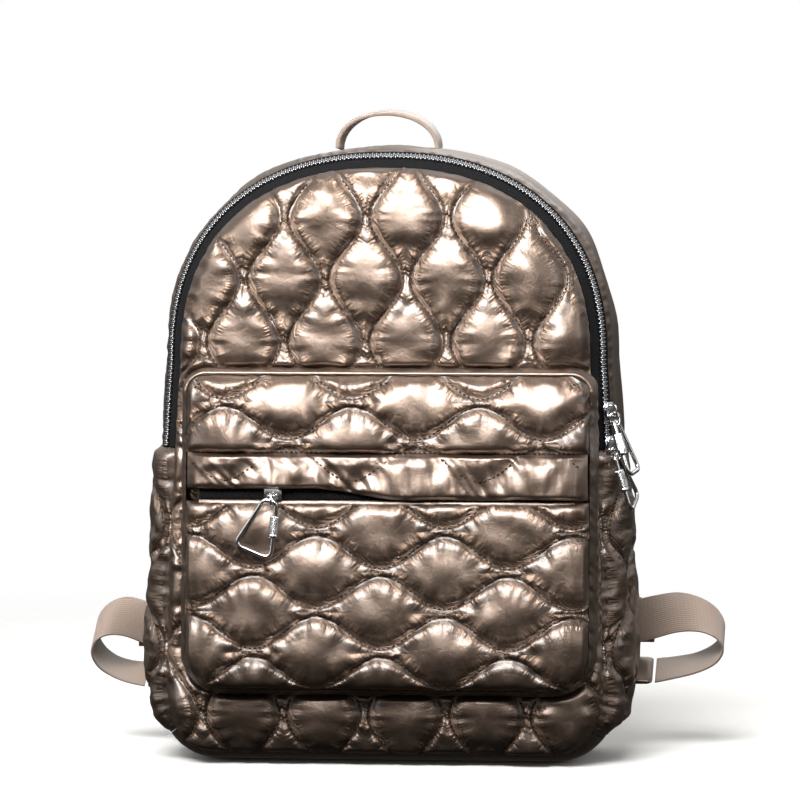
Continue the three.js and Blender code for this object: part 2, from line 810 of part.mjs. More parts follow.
// One slider with its pull. sliderFrame places the slider, hang is the place on its bail where the
// link hangs, facing is the way the link's ring faces, lean tips the link off the cloth, and
// heading turns the screw link, which swing tips in its own plane and tilt tips out of it.
function addPull(name, sliderFrame, hang, { facing, lean, heading, swing, tilt }) {
  const placed = (geometry, ...moves) => {
    const copy = geometry.clone();
    moves.forEach((move) => copy.applyMatrix4(move));
    return copy;
  };
  const turnZ = (angle) => new THREE.Matrix4().makeRotationZ(angle);
  const atHang = new THREE.Matrix4().makeTranslation(hang.x, hang.y, hang.z);
  const linkTurn = turnZ(facing).multiply(new THREE.Matrix4().makeRotationX(-lean));
  const linkDown = new THREE.Vector3(0, 0, -screwLinkHang).applyMatrix4(linkTurn);
  const toLink = new THREE.Matrix4().makeTranslation(linkDown.x, linkDown.y, linkDown.z);
  const tip = new THREE.Matrix4().makeRotationX(tilt).multiply(new THREE.Matrix4().makeRotationY(swing));
  const screwMoves = [tip, turnZ(heading), toLink, atHang];
  const lowerLink = new THREE.Matrix4().makeTranslation(0, 0, -linkHang);
  addPiece(`${name}_slider`, placed(toGeometry(sliderSolid()), sliderFrame), nickel);
  addPiece(`${name}_link`, placed(linkGeometry(), lowerLink, linkTurn, atHang), nickel);
  addPiece(`${name}_screw_link`, placed(screwLinkGeometry(), ...screwMoves), nickel);
  addPiece(`${name}_sleeve`, placed(sleeveGeometry(), ...screwMoves), nickel);
}

const inRadians = (pose) => Object.fromEntries(
  Object.entries(pose).map(([turn, angle]) => [turn, degrees(angle)]),
);

{
  const x = pocketSliderAcross;
  const z = coilLow + coilHeight / 2;
  const y = pocketBase(x, z) - coilLift - gap;
  const frame = new THREE.Matrix4().makeTranslation(x, y, z);
  const hang = new THREE.Vector3(x, y - bailHeight, z);
  const pose = { facing: 0, lean: 32, heading: 0, swing: 0, tilt: 0 };
  addPull('pocket', frame, hang, inRadians(pose));
}

// The two sliders of the main zip meet low on the right side. Their length runs up the zip, and
// their links hang from the lower foot of the bail.
function addMainPull(name, height, pose) {
  const length = rimLengthAt(height);
  const middle = frontTapeDepth + teethDepth / 2;
  const lift = teethLift + gap;
  const seat = gussetPoint(length, middle, lift);
  const out = gussetPoint(length, middle, lift + 1).sub(seat).normalize();
  const above = gussetPoint(length + 2, middle, lift);
  const below = gussetPoint(length - 2, middle, lift);
  const up = above.sub(below).normalize();
  const across = new THREE.Vector3().crossVectors(out, up);
  const frame = new THREE.Matrix4().makeBasis(up, out.clone().negate(), across);
  frame.setPosition(seat);
  const footDown = (sliderLength * bailShare - bailWire) / 2;
  const footMiddle = sliderThick + bailReach / 2;
  const hang = seat.clone().addScaledVector(out, footMiddle).addScaledVector(up, -footDown);
  addPull(`main_${name}`, frame, hang, pose);
}

const upperPose = { facing: -62, lean: -12, heading: -104, swing: -16, tilt: 20 };
const lowerPose = { facing: -62, lean: 0, heading: -104, swing: 0, tilt: 16 };
addMainPull('lower', zipEndHeight + sliderAboveEnd, inRadians(lowerPose));
addMainPull('upper', zipEndHeight + sliderAboveEnd + sliderSpacing, inRadians(upperPose));

// Webbing: a flat band through stations that give its middle and its full width as a vector

function band(stations, thick) {
  return loft(stations.map(({ middle, width }, place) => {
    const before = stations[Math.max(0, place - 1)].middle;
    const after = stations[Math.min(stations.length - 1, place + 1)].middle;
    const along = after.clone().sub(before).normalize();
    const out = new THREE.Vector3().crossVectors(along, width).normalize().multiplyScalar(thick / 2);
    const half = width.clone().multiplyScalar(0.5);
    return [
      middle.clone().sub(half).sub(out),
      middle.clone().add(half).sub(out),
      middle.clone().add(half).add(out),
      middle.clone().sub(half).add(out),
    ];
  }));
}

// Grab handle: an arch of doubled webbing on the top

{
  const [, base] = domePoint(Math.acos((handleSpan / 2 / domeHalfWidth) ** (domeFullness / 2)));
  const stations = steps(0, Math.PI, 18).map((angle) => {
    const x = (-handleSpan / 2) * Math.cos(angle);
    const z = base + gap + handleRise * Math.sin(angle) ** 0.9;
    const middle = new THREE.Vector3(x, handleDepth, z);
    return { middle, width: new THREE.Vector3(0, webbingWidth, 0) };
  });
  addPiece('grab_handle', band(stations, handleThick), webbing);
}

// Shoulder straps, adjusters, webbing loops and corner tabs, mirrored left and right

for (const [side, sign] of [['right', 1], ['left', -1]]) {
  const at = (x, y, z) => new THREE.Vector3(sign * x, y, z);
  const rest = strapRest[side];
  const adjusterOut = bodyWidth / 2 + rest.beside;
  const adjusterUp = adjusterHeight + rest.higher;
  const farWire = adjusterBack + adjusterDepth / 2 - adjusterWire / 2;
  const nearWire = adjusterBack - adjusterDepth / 2 + adjusterWire / 2;
  const loopClear = adjusterWire / 2 + gap + webbingThick / 2;

  // Padded strap: table of places down the back, as shares of the strap's own sizes
  const strapTop = bodyHeight - strapTopDrop;
  const strapEndOut = adjusterOut - strapEndShort;
  const strapPlaces = [
    { out: 0, drop: 0, standOff: 0 },
    { out: 0.02, drop: 0.14, standOff: 0.4 },
    { out: 0.12, drop: 0.4, standOff: 0.95 },
    { out: 0.3, drop: 0.67, standOff: 1 },
    { out: 0.55, drop: 0.88, standOff: 0.75 },
    { out: 0.82, drop: 0.985, standOff: 0.6 },
    { out: 1, drop: 1, standOff: 0.6 },
  ];
  const strapRoute = new THREE.CatmullRomCurve3(strapPlaces.map((place, row) => {
    const isEnd = row >= strapPlaces.length - 2;
    const x = strapTopOut + (strapEndOut - strapTopOut) * place.out;
    const y = isEnd ? farWire : backFace + gap + strapThick / 2 + strapStandOff * place.standOff;
    return at(x, y, strapTop - (strapTop - adjusterUp) * place.drop);
  }));
  const strapSections = steps(0, 1, 18).map((share) => {
    const centre = strapRoute.getPointAt(share);
    const along = strapRoute.getTangentAt(share);
    const width = new THREE.Vector3().crossVectors(along, new THREE.Vector3(0, 1, 0)).normalize();
    const out = new THREE.Vector3().crossVectors(width, along);
    const narrow = THREE.MathUtils.smoothstep(share, 0.55, 0.95);
    const half = THREE.MathUtils.lerp(strapWidth, strapEndWidth, narrow) / 2;
    const thin = THREE.MathUtils.smoothstep(share, 0.8, 0.97);
    const thick = THREE.MathUtils.lerp(strapThick, strapEndThick, thin) / 2;
    return steps(0, 2 * Math.PI, 8).slice(0, 8).map((turn) => {
      const angle = turn + Math.PI / 8;
      const w = Math.sign(Math.cos(angle)) * Math.abs(Math.cos(angle)) ** 0.5 * half;
      const t = Math.sign(Math.sin(angle)) * Math.abs(Math.sin(angle)) ** 0.8 * thick;
      return centre.clone().addScaledVector(width, w).addScaledVector(out, t);
    });
  });
  addPiece(`shoulder_strap_${side}`, loft(strapSections), fabric);

  // Adjuster: a rectangle of wire with a middle bar, standing across the strap
  const wireAt = (length, isUpright, y, z) => {
    const rod = new THREE.CylinderGeometry(adjusterWire / 2, adjusterWire / 2, length, 6);
    if (isUpright) {
      rod.rotateX(Math.PI / 2);
    }
    rod.translate(sign * adjusterOut, y, z);
    return toSolid(rod);
  };
  const wireHeight = (adjusterTall - adjusterWire) / 2;
  const frameSolid = [
    wireAt(adjusterDepth, false, adjusterBack, adjusterUp + wireHeight),
    wireAt(adjusterDepth, false, adjusterBack, adjusterUp - wireHeight),
    ...[farWire, adjusterBack, nearWire].map((y) => wireAt(adjusterTall, true, y, adjusterUp)),
  ].reduce((joined, next) => joined.add(next));
  addPiece(`adjuster_${side}`, toGeometry(frameSolid), nickel);

  // Short webbing that holds the adjuster: both legs clasp the strap's end
  const upright = new THREE.Vector3(0, 0, strapEndWidth - 1);
  const loopPoints = [
    [adjusterOut - adjusterLoopShort, farWire - loopClear],
    ...steps(0, Math.PI, 6).map((angle) => [
      adjusterOut + loopClear * Math.sin(angle),
      farWire - loopClear * Math.cos(angle),
    ]),
    [adjusterOut - adjusterLoopShort, farWire + loopClear],
  ];
  const loopStations = loopPoints.map(([x, y]) => ({ middle: at(x, y, adjusterUp), width: upright }));
  addPiece(`adjuster_loop_${side}`, band(loopStations, webbingThick), webbing);

  // Webbing: a short tail, round the middle bar, out into the open loop and back to the corner tab.
  // The table gives the loop's middle line, as shares of the loop's own sizes, and how many degrees
  // the band leans towards the front.
  const barClear = adjusterWire / 2 + gap + webbingThick / 2;
  const around = steps(0, Math.PI, 6).map((angle) => ({
    x: adjusterOut - barClear * Math.sin(angle),
    y: adjusterBack + barClear * Math.cos(angle),
    z: adjusterUp,
    lean: 0,
  }));
  const openLoop = [
    { out: 0.19, forward: 0.27, drop: -0.09, lean: 10 },
    { out: 0.48, forward: 0.59, drop: -0.22, lean: 30 },
    { out: 0.74, forward: 0.91, drop: -0.19, lean: 45 },
    { out: 0.93, forward: 1, drop: 0, lean: 55 },
    { out: 1, forward: 0.86, drop: 0.31, lean: 62 },
    { out: 0.905, forward: 0.59, drop: 0.625, lean: 66 },
    { out: 0.69, forward: 0.41, drop: 0.84, lean: 68 },
    { out: 0.43, forward: 0.41, drop: 0.95, lean: 66 },
    { out: 0, forward: 0.545, drop: 1, lean: 63 },
  ].map(({ out, forward, drop, lean }) => ({
    x: (drop === 1 ? tabOut : adjusterOut) + rest.reach * out,
    y: adjusterBack - loopForward * forward,
    z: adjusterUp - loopDrop * drop,
    lean,
  }));
  const tail = { x: adjusterOut + tailOut, y: adjusterBack + barClear, z: adjusterUp, lean: 0 };
  const widthAt = (lean, width) => {
    const angle = degrees(lean);
    return new THREE.Vector3(0, -Math.sin(angle), -Math.cos(angle)).multiplyScalar(width);
  };
  const webbingStations = [tail, ...around, ...openLoop].map(({ x, y, z, lean }) => ({
    middle: at(x, y, z),
    width: widthAt(lean, webbingWidth - 1),
  }));
  addPiece(`strap_webbing_${side}`, band(webbingStations, webbingThick), webbing);

  // Corner tab: a folded piece of the cloth that joins the webbing's end to the side panel
  const end = openLoop.at(-1);
  const tabStations = [end.x - gap - tabReach, end.x - gap].map((x) => ({
    middle: at(x, end.y, end.z),
    width: widthAt(end.lean, webbingWidth),
  }));
  addPiece(`corner_tab_${side}`, band(tabStations, tabThick), fabric);
}

export default group;
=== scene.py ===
import math

import bmesh
import bpy
import numpy as np
from mathutils import Matrix, Vector, noise


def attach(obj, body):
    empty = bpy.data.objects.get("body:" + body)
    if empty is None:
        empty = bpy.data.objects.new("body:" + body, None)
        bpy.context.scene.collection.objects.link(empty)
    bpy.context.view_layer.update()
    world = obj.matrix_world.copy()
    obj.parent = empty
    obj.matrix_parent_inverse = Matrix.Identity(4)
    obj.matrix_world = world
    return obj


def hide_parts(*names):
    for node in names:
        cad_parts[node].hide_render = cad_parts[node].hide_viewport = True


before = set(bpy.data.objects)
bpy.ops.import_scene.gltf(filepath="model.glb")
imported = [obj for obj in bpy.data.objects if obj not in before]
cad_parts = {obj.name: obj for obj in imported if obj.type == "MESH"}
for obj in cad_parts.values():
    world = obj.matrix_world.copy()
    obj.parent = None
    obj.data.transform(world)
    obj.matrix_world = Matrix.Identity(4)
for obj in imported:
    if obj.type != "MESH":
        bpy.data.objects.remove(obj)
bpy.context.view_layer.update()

scene = bpy.context.scene
print("frame loaded")

# Shapes are worked out in millimetres and scaled once, when a mesh is made
mm = 0.001

body = {
    "width": 318,
    "height": 400,
    "backFace": 60,          # y of the face that lies on the wearer's back
    "seamBase": -60,         # y of the front seam at the base
    "lean": 16,              # how far the front seam leans back towards the top
    "sidePuff": 4.5,
    "sideTaper": 8,
    "corner": (46, 62),
    "domeStart": 262,
    "fullness": 2.3,         # 2 is a plain ellipse, more is squarer
    "sideInset": 13,         # how far the front seam lies inside the outline
    "baseInset": 7,
    "seamRoll": 34,
    "backInset": 7,
    "backRoll": 22,
    "backPad": 6,
    "bottomSeam": 16,
    "crown": 9,
    "frontLift": 3.3,        # how far the front cloth stands out at its seam
    "frontRoll": 30,
    "zipEnd": 205,           # height where the zip ends at both sides
}


def clamp(value):
    return np.clip(value, 0, 1)


def smooth(value):
    share = clamp(value)
    return share * share * (3 - 2 * share)


# Outline of the body from the front: rounded bottom corners, tapered sides and a dome
halfWidth = body["width"] / 2 - body["sidePuff"]
domeHalf = halfWidth - body["sideTaper"]
power = 2 / body["fullness"]
cosines = clamp(np.cos(np.linspace(0, math.pi / 2, 60)))
sines = clamp(np.sin(np.linspace(0, math.pi / 2, 60)))
upSide = np.linspace(0, 1, 40)[1:]
outX = np.concatenate([
    [0],
    halfWidth - body["corner"][0] * (1 - sines ** power),
    halfWidth - body["sideTaper"] * upSide ** 1.6,
    domeHalf * cosines[1:] ** power,
])
outZ = np.concatenate([
    [0],
    body["corner"][1] * (1 - cosines ** power),
    body["corner"][1] + (body["domeStart"] - body["corner"][1]) * upSide,
    body["domeStart"] + (body["height"] - body["domeStart"]) * sines[1:] ** power,
])
outLength = np.concatenate([[0], np.cumsum(np.hypot(np.diff(outX), np.diff(outZ)))])
rimTotal = outLength[-1]

# The whole way round, so that a length may run past the middle of the base or of the top
loopLength = np.concatenate([-outLength[:0:-1], outLength, 2 * rimTotal - outLength[-2::-1]])
loopX = np.concatenate([-outX[:0:-1], outX, -outX[-2::-1]])
loopZ = np.concatenate([outZ[:0:-1], outZ, outZ[-2::-1]])


def rimAt(length):
    x = np.interp(length, loopLength, loopX)
    z = np.interp(length, loopLength, loopZ)
    dx = np.interp(length + 3, loopLength, loopX) - np.interp(length - 3, loopLength, loopX)
    dz = np.interp(length + 3, loopLength, loopZ) - np.interp(length - 3, loopLength, loopZ)
    run = np.hypot(dx, dz)
    return x, z, dz / run, -dx / run


def rimLengthAt(height):
    return float(np.interp(height, outZ[1:], outLength[1:]))


def frontSeam(z):
    return body["seamBase"] + body["lean"] * z / body["height"]


def seamInset(nz):
    return body["sideInset"] + (body["baseInset"] - body["sideInset"]) * np.maximum(0, -nz)


gussetBack = body["backFace"] - body["backPad"] - 0.3
bottomSeam = rimLengthAt(body["bottomSeam"])
zipEnd = rimLengthAt(body["zipEnd"])
zipStart = 2 * rimTotal - zipEnd


def gussetInset(nz, fromSeam, depth):
    front = np.maximum(0, 1 - fromSeam / body["seamRoll"])
    back = np.maximum(0, 1 - (depth - fromSeam) / body["backRoll"])
    return seamInset(nz) * front ** 3 + body["backInset"] * back ** 2


def gussetDepth(length):
    x, z, nx, nz = rimAt(length)
    return gussetBack - frontSeam(z - nz * seamInset(nz))


def gussetPoint(length, fromSeam, lift):
    # The band round the body, from the front seam back, lifted off its own surface
    x, z, nx, nz = rimAt(length)
    start = frontSeam(z - nz * seamInset(nz))
    depth = gussetBack - start
    inset = gussetInset(nz, fromSeam, depth)
    slope = gussetInset(nz, fromSeam + 0.5, depth) - gussetInset(nz, fromSeam - 0.5, depth)
    steep = np.hypot(1, slope)
    out = lift / steep - inset
    return np.stack([x + nx * out, start + fromSeam + lift * slope / steep, z + nz * out], axis=-1)


def nearestOn(outline, x, z):
    ends = np.roll(outline, -1, axis=0)
    nearest = np.full(x.shape, 1e9)
    inside = np.zeros(x.shape, bool)
    nearX, nearZ = x.copy(), z.copy()
    for (ax, az), (bx, bz) in zip(outline, ends):
        dx, dz = bx - ax, bz - az
        share = clamp(((x - ax) * dx + (z - az) * dz) / (dx * dx + dz * dz + 1e-9))
        px, pz = ax + share * dx, az + share * dz
        far = np.hypot(x - px, z - pz)
        closer = far < nearest
        nearest = np.where(closer, far, nearest)
        nearX, nearZ = np.where(closer, px, nearX), np.where(closer, pz, nearZ)
        if az != bz:
            inside ^= ((az > z) != (bz > z)) & (x < ax + (bx - ax) * (z - az) / (bz - az))
    return np.where(inside, nearest, -nearest), nearX, nearZ


def depthInside(outline, x, z):
    return nearestOn(outline, x, z)[0]


rimSteps = np.linspace(0, 2 * rimTotal, 241)[:-1]
rimX, rimZ, rimNx, rimNz = rimAt(rimSteps)
frontOutline = np.stack([rimX - rimNx * seamInset(rimNz), rimZ - rimNz * seamInset(rimNz)], axis=-1)
backOutline = np.stack([rimX - rimNx * body["backInset"], rimZ - rimNz * body["backInset"]], axis=-1)


def frontBase(x, z):
    rolled = 1 - clamp(depthInside(frontOutline, x, z) / body["frontRoll"])
    return frontSeam(z) - body["frontLift"] - body["crown"] * (1 - rolled ** 2.2)


# Quilting: wavy seams in mirrored pairs, which nearly meet at the necks and swell apart between them.
# across and along give one neck of seam 0, in the direction over and along the seams.
neckGap = 4.6
bodyQuilt = {"pitch": 53, "period": 80.5, "rise": 9, "across": -24.7, "along": 355}
sideQuilt = {"pitch": 50, "period": 80.5, "rise": 7, "across": 17, "along": rimLengthAt(355 - 3 * 80.5)}
lowerQuilt = {"pitch": 52, "period": 82.5, "rise": 8.5, "across": 114.4, "along": 0.8}
upperQuilt = {"pitch": 52, "period": 82.5, "rise": 8.5, "across": 223, "along": -18.3}


def seamAt(quilt, seam, along):
    sway = quilt["pitch"] / 4 - neckGap / 2
    phase = np.cos(2 * math.pi * (along - quilt["along"]) / quilt["period"])
    return quilt["across"] + seam * quilt["pitch"] / 2 + np.where(seam % 2 == 0, 1, -1) * sway * phase


def quiltAcross(quilt, column, along):
    seam = np.floor(column + 1e-6)
    share = column - seam
    return seamAt(quilt, seam, along) * (1 - share) + seamAt(quilt, seam + 1, along) * share


# Meshes: every panel starts as a flat grid whose points are then moved

def flatGrid(columns, rows):
    bm = bmesh.new()
    bmesh.ops.create_grid(bm, x_segments=columns, y_segments=rows, size=0.5)
    spots = np.array([vert.co[:2] for vert in bm.verts]) + 0.5
    return bm, spots[:, 0], spots[:, 1]


def placePoints(bm, points, flat):
    layer = bm.loops.layers.uv.new("cloth")  # the cloth's own flat sizes, in metres
    bm.verts.index_update()
    for vert, point in zip(bm.verts, points * mm):
        vert.co = point
    flat = flat * mm
    for face in bm.faces:
        for loop in face.loops:
            loop[layer].uv = flat[loop.vert.index]


def trimGrid(bm, depth):
    # Deletes the faces that lie outside, and says which points stay
    bm.verts.index_update()
    kept = np.zeros(len(bm.verts), bool)
    outside = []
    for face in bm.faces:
        corners = [vert.index for vert in face.verts]
        if depth[corners].max() < 0.2:
            outside.append(face)
        else:
            kept[corners] = True
    bmesh.ops.delete(bm, geom=outside, context="FACES")
    return kept


def newPiece(name, bm, outward=None):
    if outward is not None:
        bm.normal_update()
        total = sum((face.normal * face.calc_area() for face in bm.faces), Vector())
        if total.dot(Vector(outward)) < 0:
            bmesh.ops.reverse_faces(bm, faces=bm.faces)
    mesh = bpy.data.meshes.new(name)
    bm.to_mesh(mesh)
    bm.free()
    piece = bpy.data.objects.new(name, mesh)
    scene.collection.objects.link(piece)
    return piece


def pointsOf(piece):
    flat = np.empty(len(piece.data.vertices) * 3)
    piece.data.vertices.foreach_get("co", flat)
    return flat.reshape(-1, 3) / mm


def normalsOf(piece):
    flat = np.empty(len(piece.data.vertices) * 3)
    piece.data.vertices.foreach_get("normal", flat)
    return flat.reshape(-1, 3)


def movePoints(piece, points):
    piece.data.vertices.foreach_set("co", (points * mm).ravel())
    piece.data.update()


def finishPiece(piece, material, slot, *nodes):
    piece.data.materials.clear()
    piece.data.materials.append(material)
    piece.data.polygons.foreach_set("use_smooth", [True] * len(piece.data.polygons))
    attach(piece, "root")
    if nodes:
        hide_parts(*nodes)


def addWall(piece, thick, offset=-1):
    wall = piece.modifiers.new("wall", "SOLIDIFY")
    wall.thickness = thick * mm
    wall.offset = offset


def addSmoothing(piece, level=1):
    fine = piece.modifiers.new("fine", "SUBSURF")
    fine.levels = level
    fine.render_levels = level


def ripple(x, y, seed):
    return np.array([noise.noise(Vector((a, b, seed))) for a, b in zip(x, y)])


# Materials. Every colour is an sRGB hex value, turned linear here.

def colour(code):
    parts = [int(code[place:place + 2], 16) / 255 for place in (1, 3, 5)]
    return [part / 12.92 if part <= 0.04045 else ((part + 0.055) / 1.055) ** 2.4 for part in parts] + [1]


def addNode(tree, kind, values=None, links=None, **settings):
    made = tree.nodes.new("ShaderNode" + kind)
    for key, value in settings.items():
        setattr(made, key, value)
    for key, value in (values or {}).items():
        made.inputs[key].default_value = value
    for key, socket in (links or {}).items():
        tree.links.new(socket, made.inputs[key])
    return made


def newMaterial(name):
    material = bpy.data.materials.new(name)
    material.use_nodes = True
    tree = material.node_tree
    shader = tree.nodes["Principled BSDF"]
    return material, tree, shader


def rampOf(tree, factor, stops):
    ramp = addNode(tree, "ValToRGB", links={"Fac": factor})
    while len(ramp.color_ramp.elements) < len(stops):
        ramp.color_ramp.elements.new(0.5)
    for element, (position, value) in zip(ramp.color_ramp.elements, stops):
        element.position = position
        element.color = value
    return ramp


def threadsOf(tree, place, pitch, direction, values):
    # Bands that repeat every pitch mm of the cloth's own flat size. Scale 0.314 is one band in a metre.
    return addNode(tree, "TexWave", {"Scale": 0.314 / (pitch * mm), **values},
                   {"Vector": place.outputs["UV"]}, bands_direction=direction)


nylonLook = {
    "dark": "#675548",
    "middle": "#6e5b4d",
    "light": "#766355",
    "metallic": 0.94,
    "roughness": (0.35, 0.5),
    "coat": (0.6, 0.34, 1.9),  # weight, roughness and index of the clear film over the metal
    "pucker": (2, 3),          # mm across a pucker beside a sewn line, and its depth
    "crinkle": 5.5,            # mm across one crinkle of the coated face
    "crinkleDeep": 0.34,
    "thread": 0.9,             # mm: the real yarns lie 0.15 mm apart, drawn coarser to show up close
}


def coatedNylon():
    # Calendered nylon taffeta with a metallic coating: a satin bronze glint on every fold
    material, tree, shader = newMaterial("metallic_coated_nylon")
    place = addNode(tree, "TexCoord")
    spot = place.outputs["Object"]
    cloud = addNode(tree, "TexNoise", {"Scale": 22, "Detail": 3, "Roughness": 0.55}, {"Vector": spot})
    tone = rampOf(tree, cloud.outputs["Fac"], [
        (0.3, colour(nylonLook["dark"])),
        (0.5, colour(nylonLook["middle"])),
        (0.7, colour(nylonLook["light"])),
    ])
    crinkle = addNode(tree, "TexNoise", {
        "Scale": 1 / (nylonLook["crinkle"] * mm), "Detail": 4, "Roughness": 0.6, "Distortion": 0.7,
    }, {"Vector": spot})
    low, high = nylonLook["roughness"]
    rough = addNode(tree, "MapRange", {"From Min": 0.3, "From Max": 0.7, "To Min": low, "To Max": high},
                    {"Value": crinkle.outputs["Fac"]})
    warp = threadsOf(tree, place, nylonLook["thread"], "X", {"Distortion": 0.3})
    weft = threadsOf(tree, place, nylonLook["thread"], "Y", {"Distortion": 0.3})
    cross = addNode(tree, "Math", links={0: warp.outputs["Fac"], 1: weft.outputs["Fac"]},
                    operation="MULTIPLY")
    fine = addNode(tree, "Bump", {"Strength": 0.05, "Distance": 0.1 * mm}, {"Height": cross.outputs[0]})
    folds = addNode(tree, "Bump", {"Strength": nylonLook["crinkleDeep"], "Distance": 1.2 * mm},
                    {"Height": crinkle.outputs["Fac"], "Normal": fine.outputs["Normal"]})
    # Every stitch draws the cloth into puckers that run square to its line
    wide, deep = nylonLook["pucker"]
    run = addNode(tree, "Attribute", attribute_name="along_seam")
    off = addNode(tree, "Attribute", attribute_name="off_seam")
    drawn = addNode(tree, "Attribute", attribute_name="drawn_in")
    lain = addNode(tree, "CombineXYZ", links={0: run.outputs["Fac"], 1: off.outputs["Fac"]})
    pucker = addNode(tree, "TexNoise", {"Scale": 1 / wide, "Detail": 2, "Roughness": 0.5,
                                        "Distortion": 0.15},
                     {"Vector": lain.outputs["Vector"]})
    height = addNode(tree, "Math", links={0: pucker.outputs["Fac"], 1: drawn.outputs["Fac"]},
                     operation="MULTIPLY")
    sewn = addNode(tree, "Bump", {"Strength": 1, "Distance": deep * mm},
                   {"Height": height.outputs[0], "Normal": folds.outputs["Normal"]})
    tree.links.new(tone.outputs["Color"], shader.inputs["Base Color"])
    tree.links.new(rough.outputs["Result"], shader.inputs["Roughness"])
    tree.links.new(sewn.outputs["Normal"], shader.inputs["Normal"])
    shader.inputs["Metallic"].default_value = nylonLook["metallic"]
    for name, value in zip(("Coat Weight", "Coat Roughness", "Coat IOR"), nylonLook["coat"]):
        shader.inputs[name].default_value = value
    return material


# shade and lit are a painted shade tone and a painted light tone of the webbing's one taupe
webbingLook = {"shade": "#74645a", "lit": "#9d8b7c", "rib": 1, "rowLong": 1.5, "roughness": 0.4}


def ribbedWebbing():
    # Woven polyester webbing: taupe with a satin face, fine ribs across and rows along
    material, tree, shader = newMaterial("woven_polyester_webbing")
    place = addNode(tree, "TexCoord")
    ribs = threadsOf(tree, place, webbingLook["rib"], "X", {"Distortion": 0.6, "Detail": 1})
    rows = threadsOf(tree, place, webbingLook["rowLong"], "Y", {"Distortion": 0.4, "Detail": 1})
    cross = addNode(tree, "Math", links={0: ribs.outputs["Fac"], 1: rows.outputs["Fac"]},
                    operation="MULTIPLY")
    fuzz = addNode(tree, "TexNoise", {"Scale": 900, "Detail": 2}, {"Vector": place.outputs["Object"]})
    mixed = addNode(tree, "Math", {1: 0.35}, {0: fuzz.outputs["Fac"], 2: cross.outputs[0]},
                    operation="MULTIPLY_ADD")
    # Painted shade: the hollows between ribs take the shade tone and the crests the lit tone, from the same
    # height as the bump, with random fuzz mixed in
    tone = rampOf(tree, mixed.outputs[0],
                  [(0.1, colour(webbingLook["shade"])), (0.9, colour(webbingLook["lit"]))])
    bump = addNode(tree, "Bump", {"Strength": 0.5, "Distance": 0.25 * mm}, {"Height": mixed.outputs[0]})
    tree.links.new(tone.outputs["Color"], shader.inputs["Base Color"])
    tree.links.new(bump.outputs["Normal"], shader.inputs["Normal"])
    shader.inputs["Roughness"].default_value = webbingLook["roughness"]
    shader.inputs["Sheen Weight"].default_value = 0.3
    return material


# shade and lit are a painted shade tone and a painted light tone of the tape's one black
tapeLook = {"shade": "#040405", "lit": "#101012", "rib": 1.1, "roughness": 0.9}


def zipCloth():
    # Black polyester zip tape: dull herringbone weave
    material, tree, shader = newMaterial("black_polyester_zip_tape")
    place = addNode(tree, "TexCoord")
    ribs = threadsOf(tree, place, tapeLook["rib"], "DIAGONAL", {"Distortion": 0.5})
    # Painted shade: the herringbone's hollows take the shade tone and its crests the lit tone, from the
    # same height as the bump
    tone = rampOf(tree, ribs.outputs["Fac"],
                  [(0.1, colour(tapeLook["shade"])), (0.95, colour(tapeLook["lit"]))])
    bump = addNode(tree, "Bump", {"Strength": 0.5, "Distance": 0.2 * mm}, {"Height": ribs.outputs["Fac"]})
    tree.links.new(tone.outputs["Color"], shader.inputs["Base Color"])
    tree.links.new(bump.outputs["Normal"], shader.inputs["Normal"])
    shader.inputs["Roughness"].default_value = tapeLook["roughness"]
    shader.inputs["Specular IOR Level"].default_value = 0.2
    return material


def platedMetal(name, code, low, high, smudge):
    # Nickel plating: a near white mirror with faint handling smudges. smudge is their size in mm.
    material, tree, shader = newMaterial(name)
    place = addNode(tree, "TexCoord")
    haze = addNode(tree, "TexNoise", {"Scale": 1 / (smudge * mm), "Detail": 4, "Roughness": 0.65},
                   {"Vector": place.outputs["Object"]})
    rough = addNode(tree, "MapRange", {"From Min": 0.35, "From Max": 0.7, "To Min": low, "To Max": high},
                    {"Value": haze.outputs["Fac"]})
    bump = addNode(tree, "Bump", {"Strength": 0.04, "Distance": 0.05 * mm}, {"Height": haze.outputs["Fac"]})
    tree.links.new(rough.outputs["Result"], shader.inputs["Roughness"])
    tree.links.new(bump.outputs["Normal"], shader.inputs["Normal"])
    shader.inputs["Base Color"].default_value = colour(code)
    shader.inputs["Metallic"].default_value = 1
    return material


def sewingThread():
    # Bonded polyester thread: dark brown, dull, with the twist of its plies
    material, tree, shader = newMaterial("bonded_polyester_thread")
    place = addNode(tree, "TexCoord")
    twist = addNode(tree, "TexNoise", {"Scale": 2500, "Detail": 1}, {"Vector": place.outputs["Object"]})
    tone = rampOf(tree, twist.outputs["Fac"], [(0.3, colour("#2a1c14")), (0.7, colour("#4a3527"))])
    tree.links.new(tone.outputs["Color"], shader.inputs["Base Color"])
    shader.inputs["Roughness"].default_value = 0.8
    shader.inputs["Specular IOR Level"].default_value = 0.2
    return material


nylon = coatedNylon()
webbing = ribbedWebbing()
tapeCloth = zipCloth()
nickel = platedMetal("polished_nickel_plate", "#dcdcde", 0.1, 0.2, 9)
teethNickel = platedMetal("tumbled_nickel_plate", "#c9c9cc", 0.22, 0.34, 5)
thread = sewingThread()
print("materials ready")


# Sewn lines: one small bead of thread for each stitch

stitching = {"pitch": 3.2, "length": 2.4, "wide": 1.15, "high": 0.9}


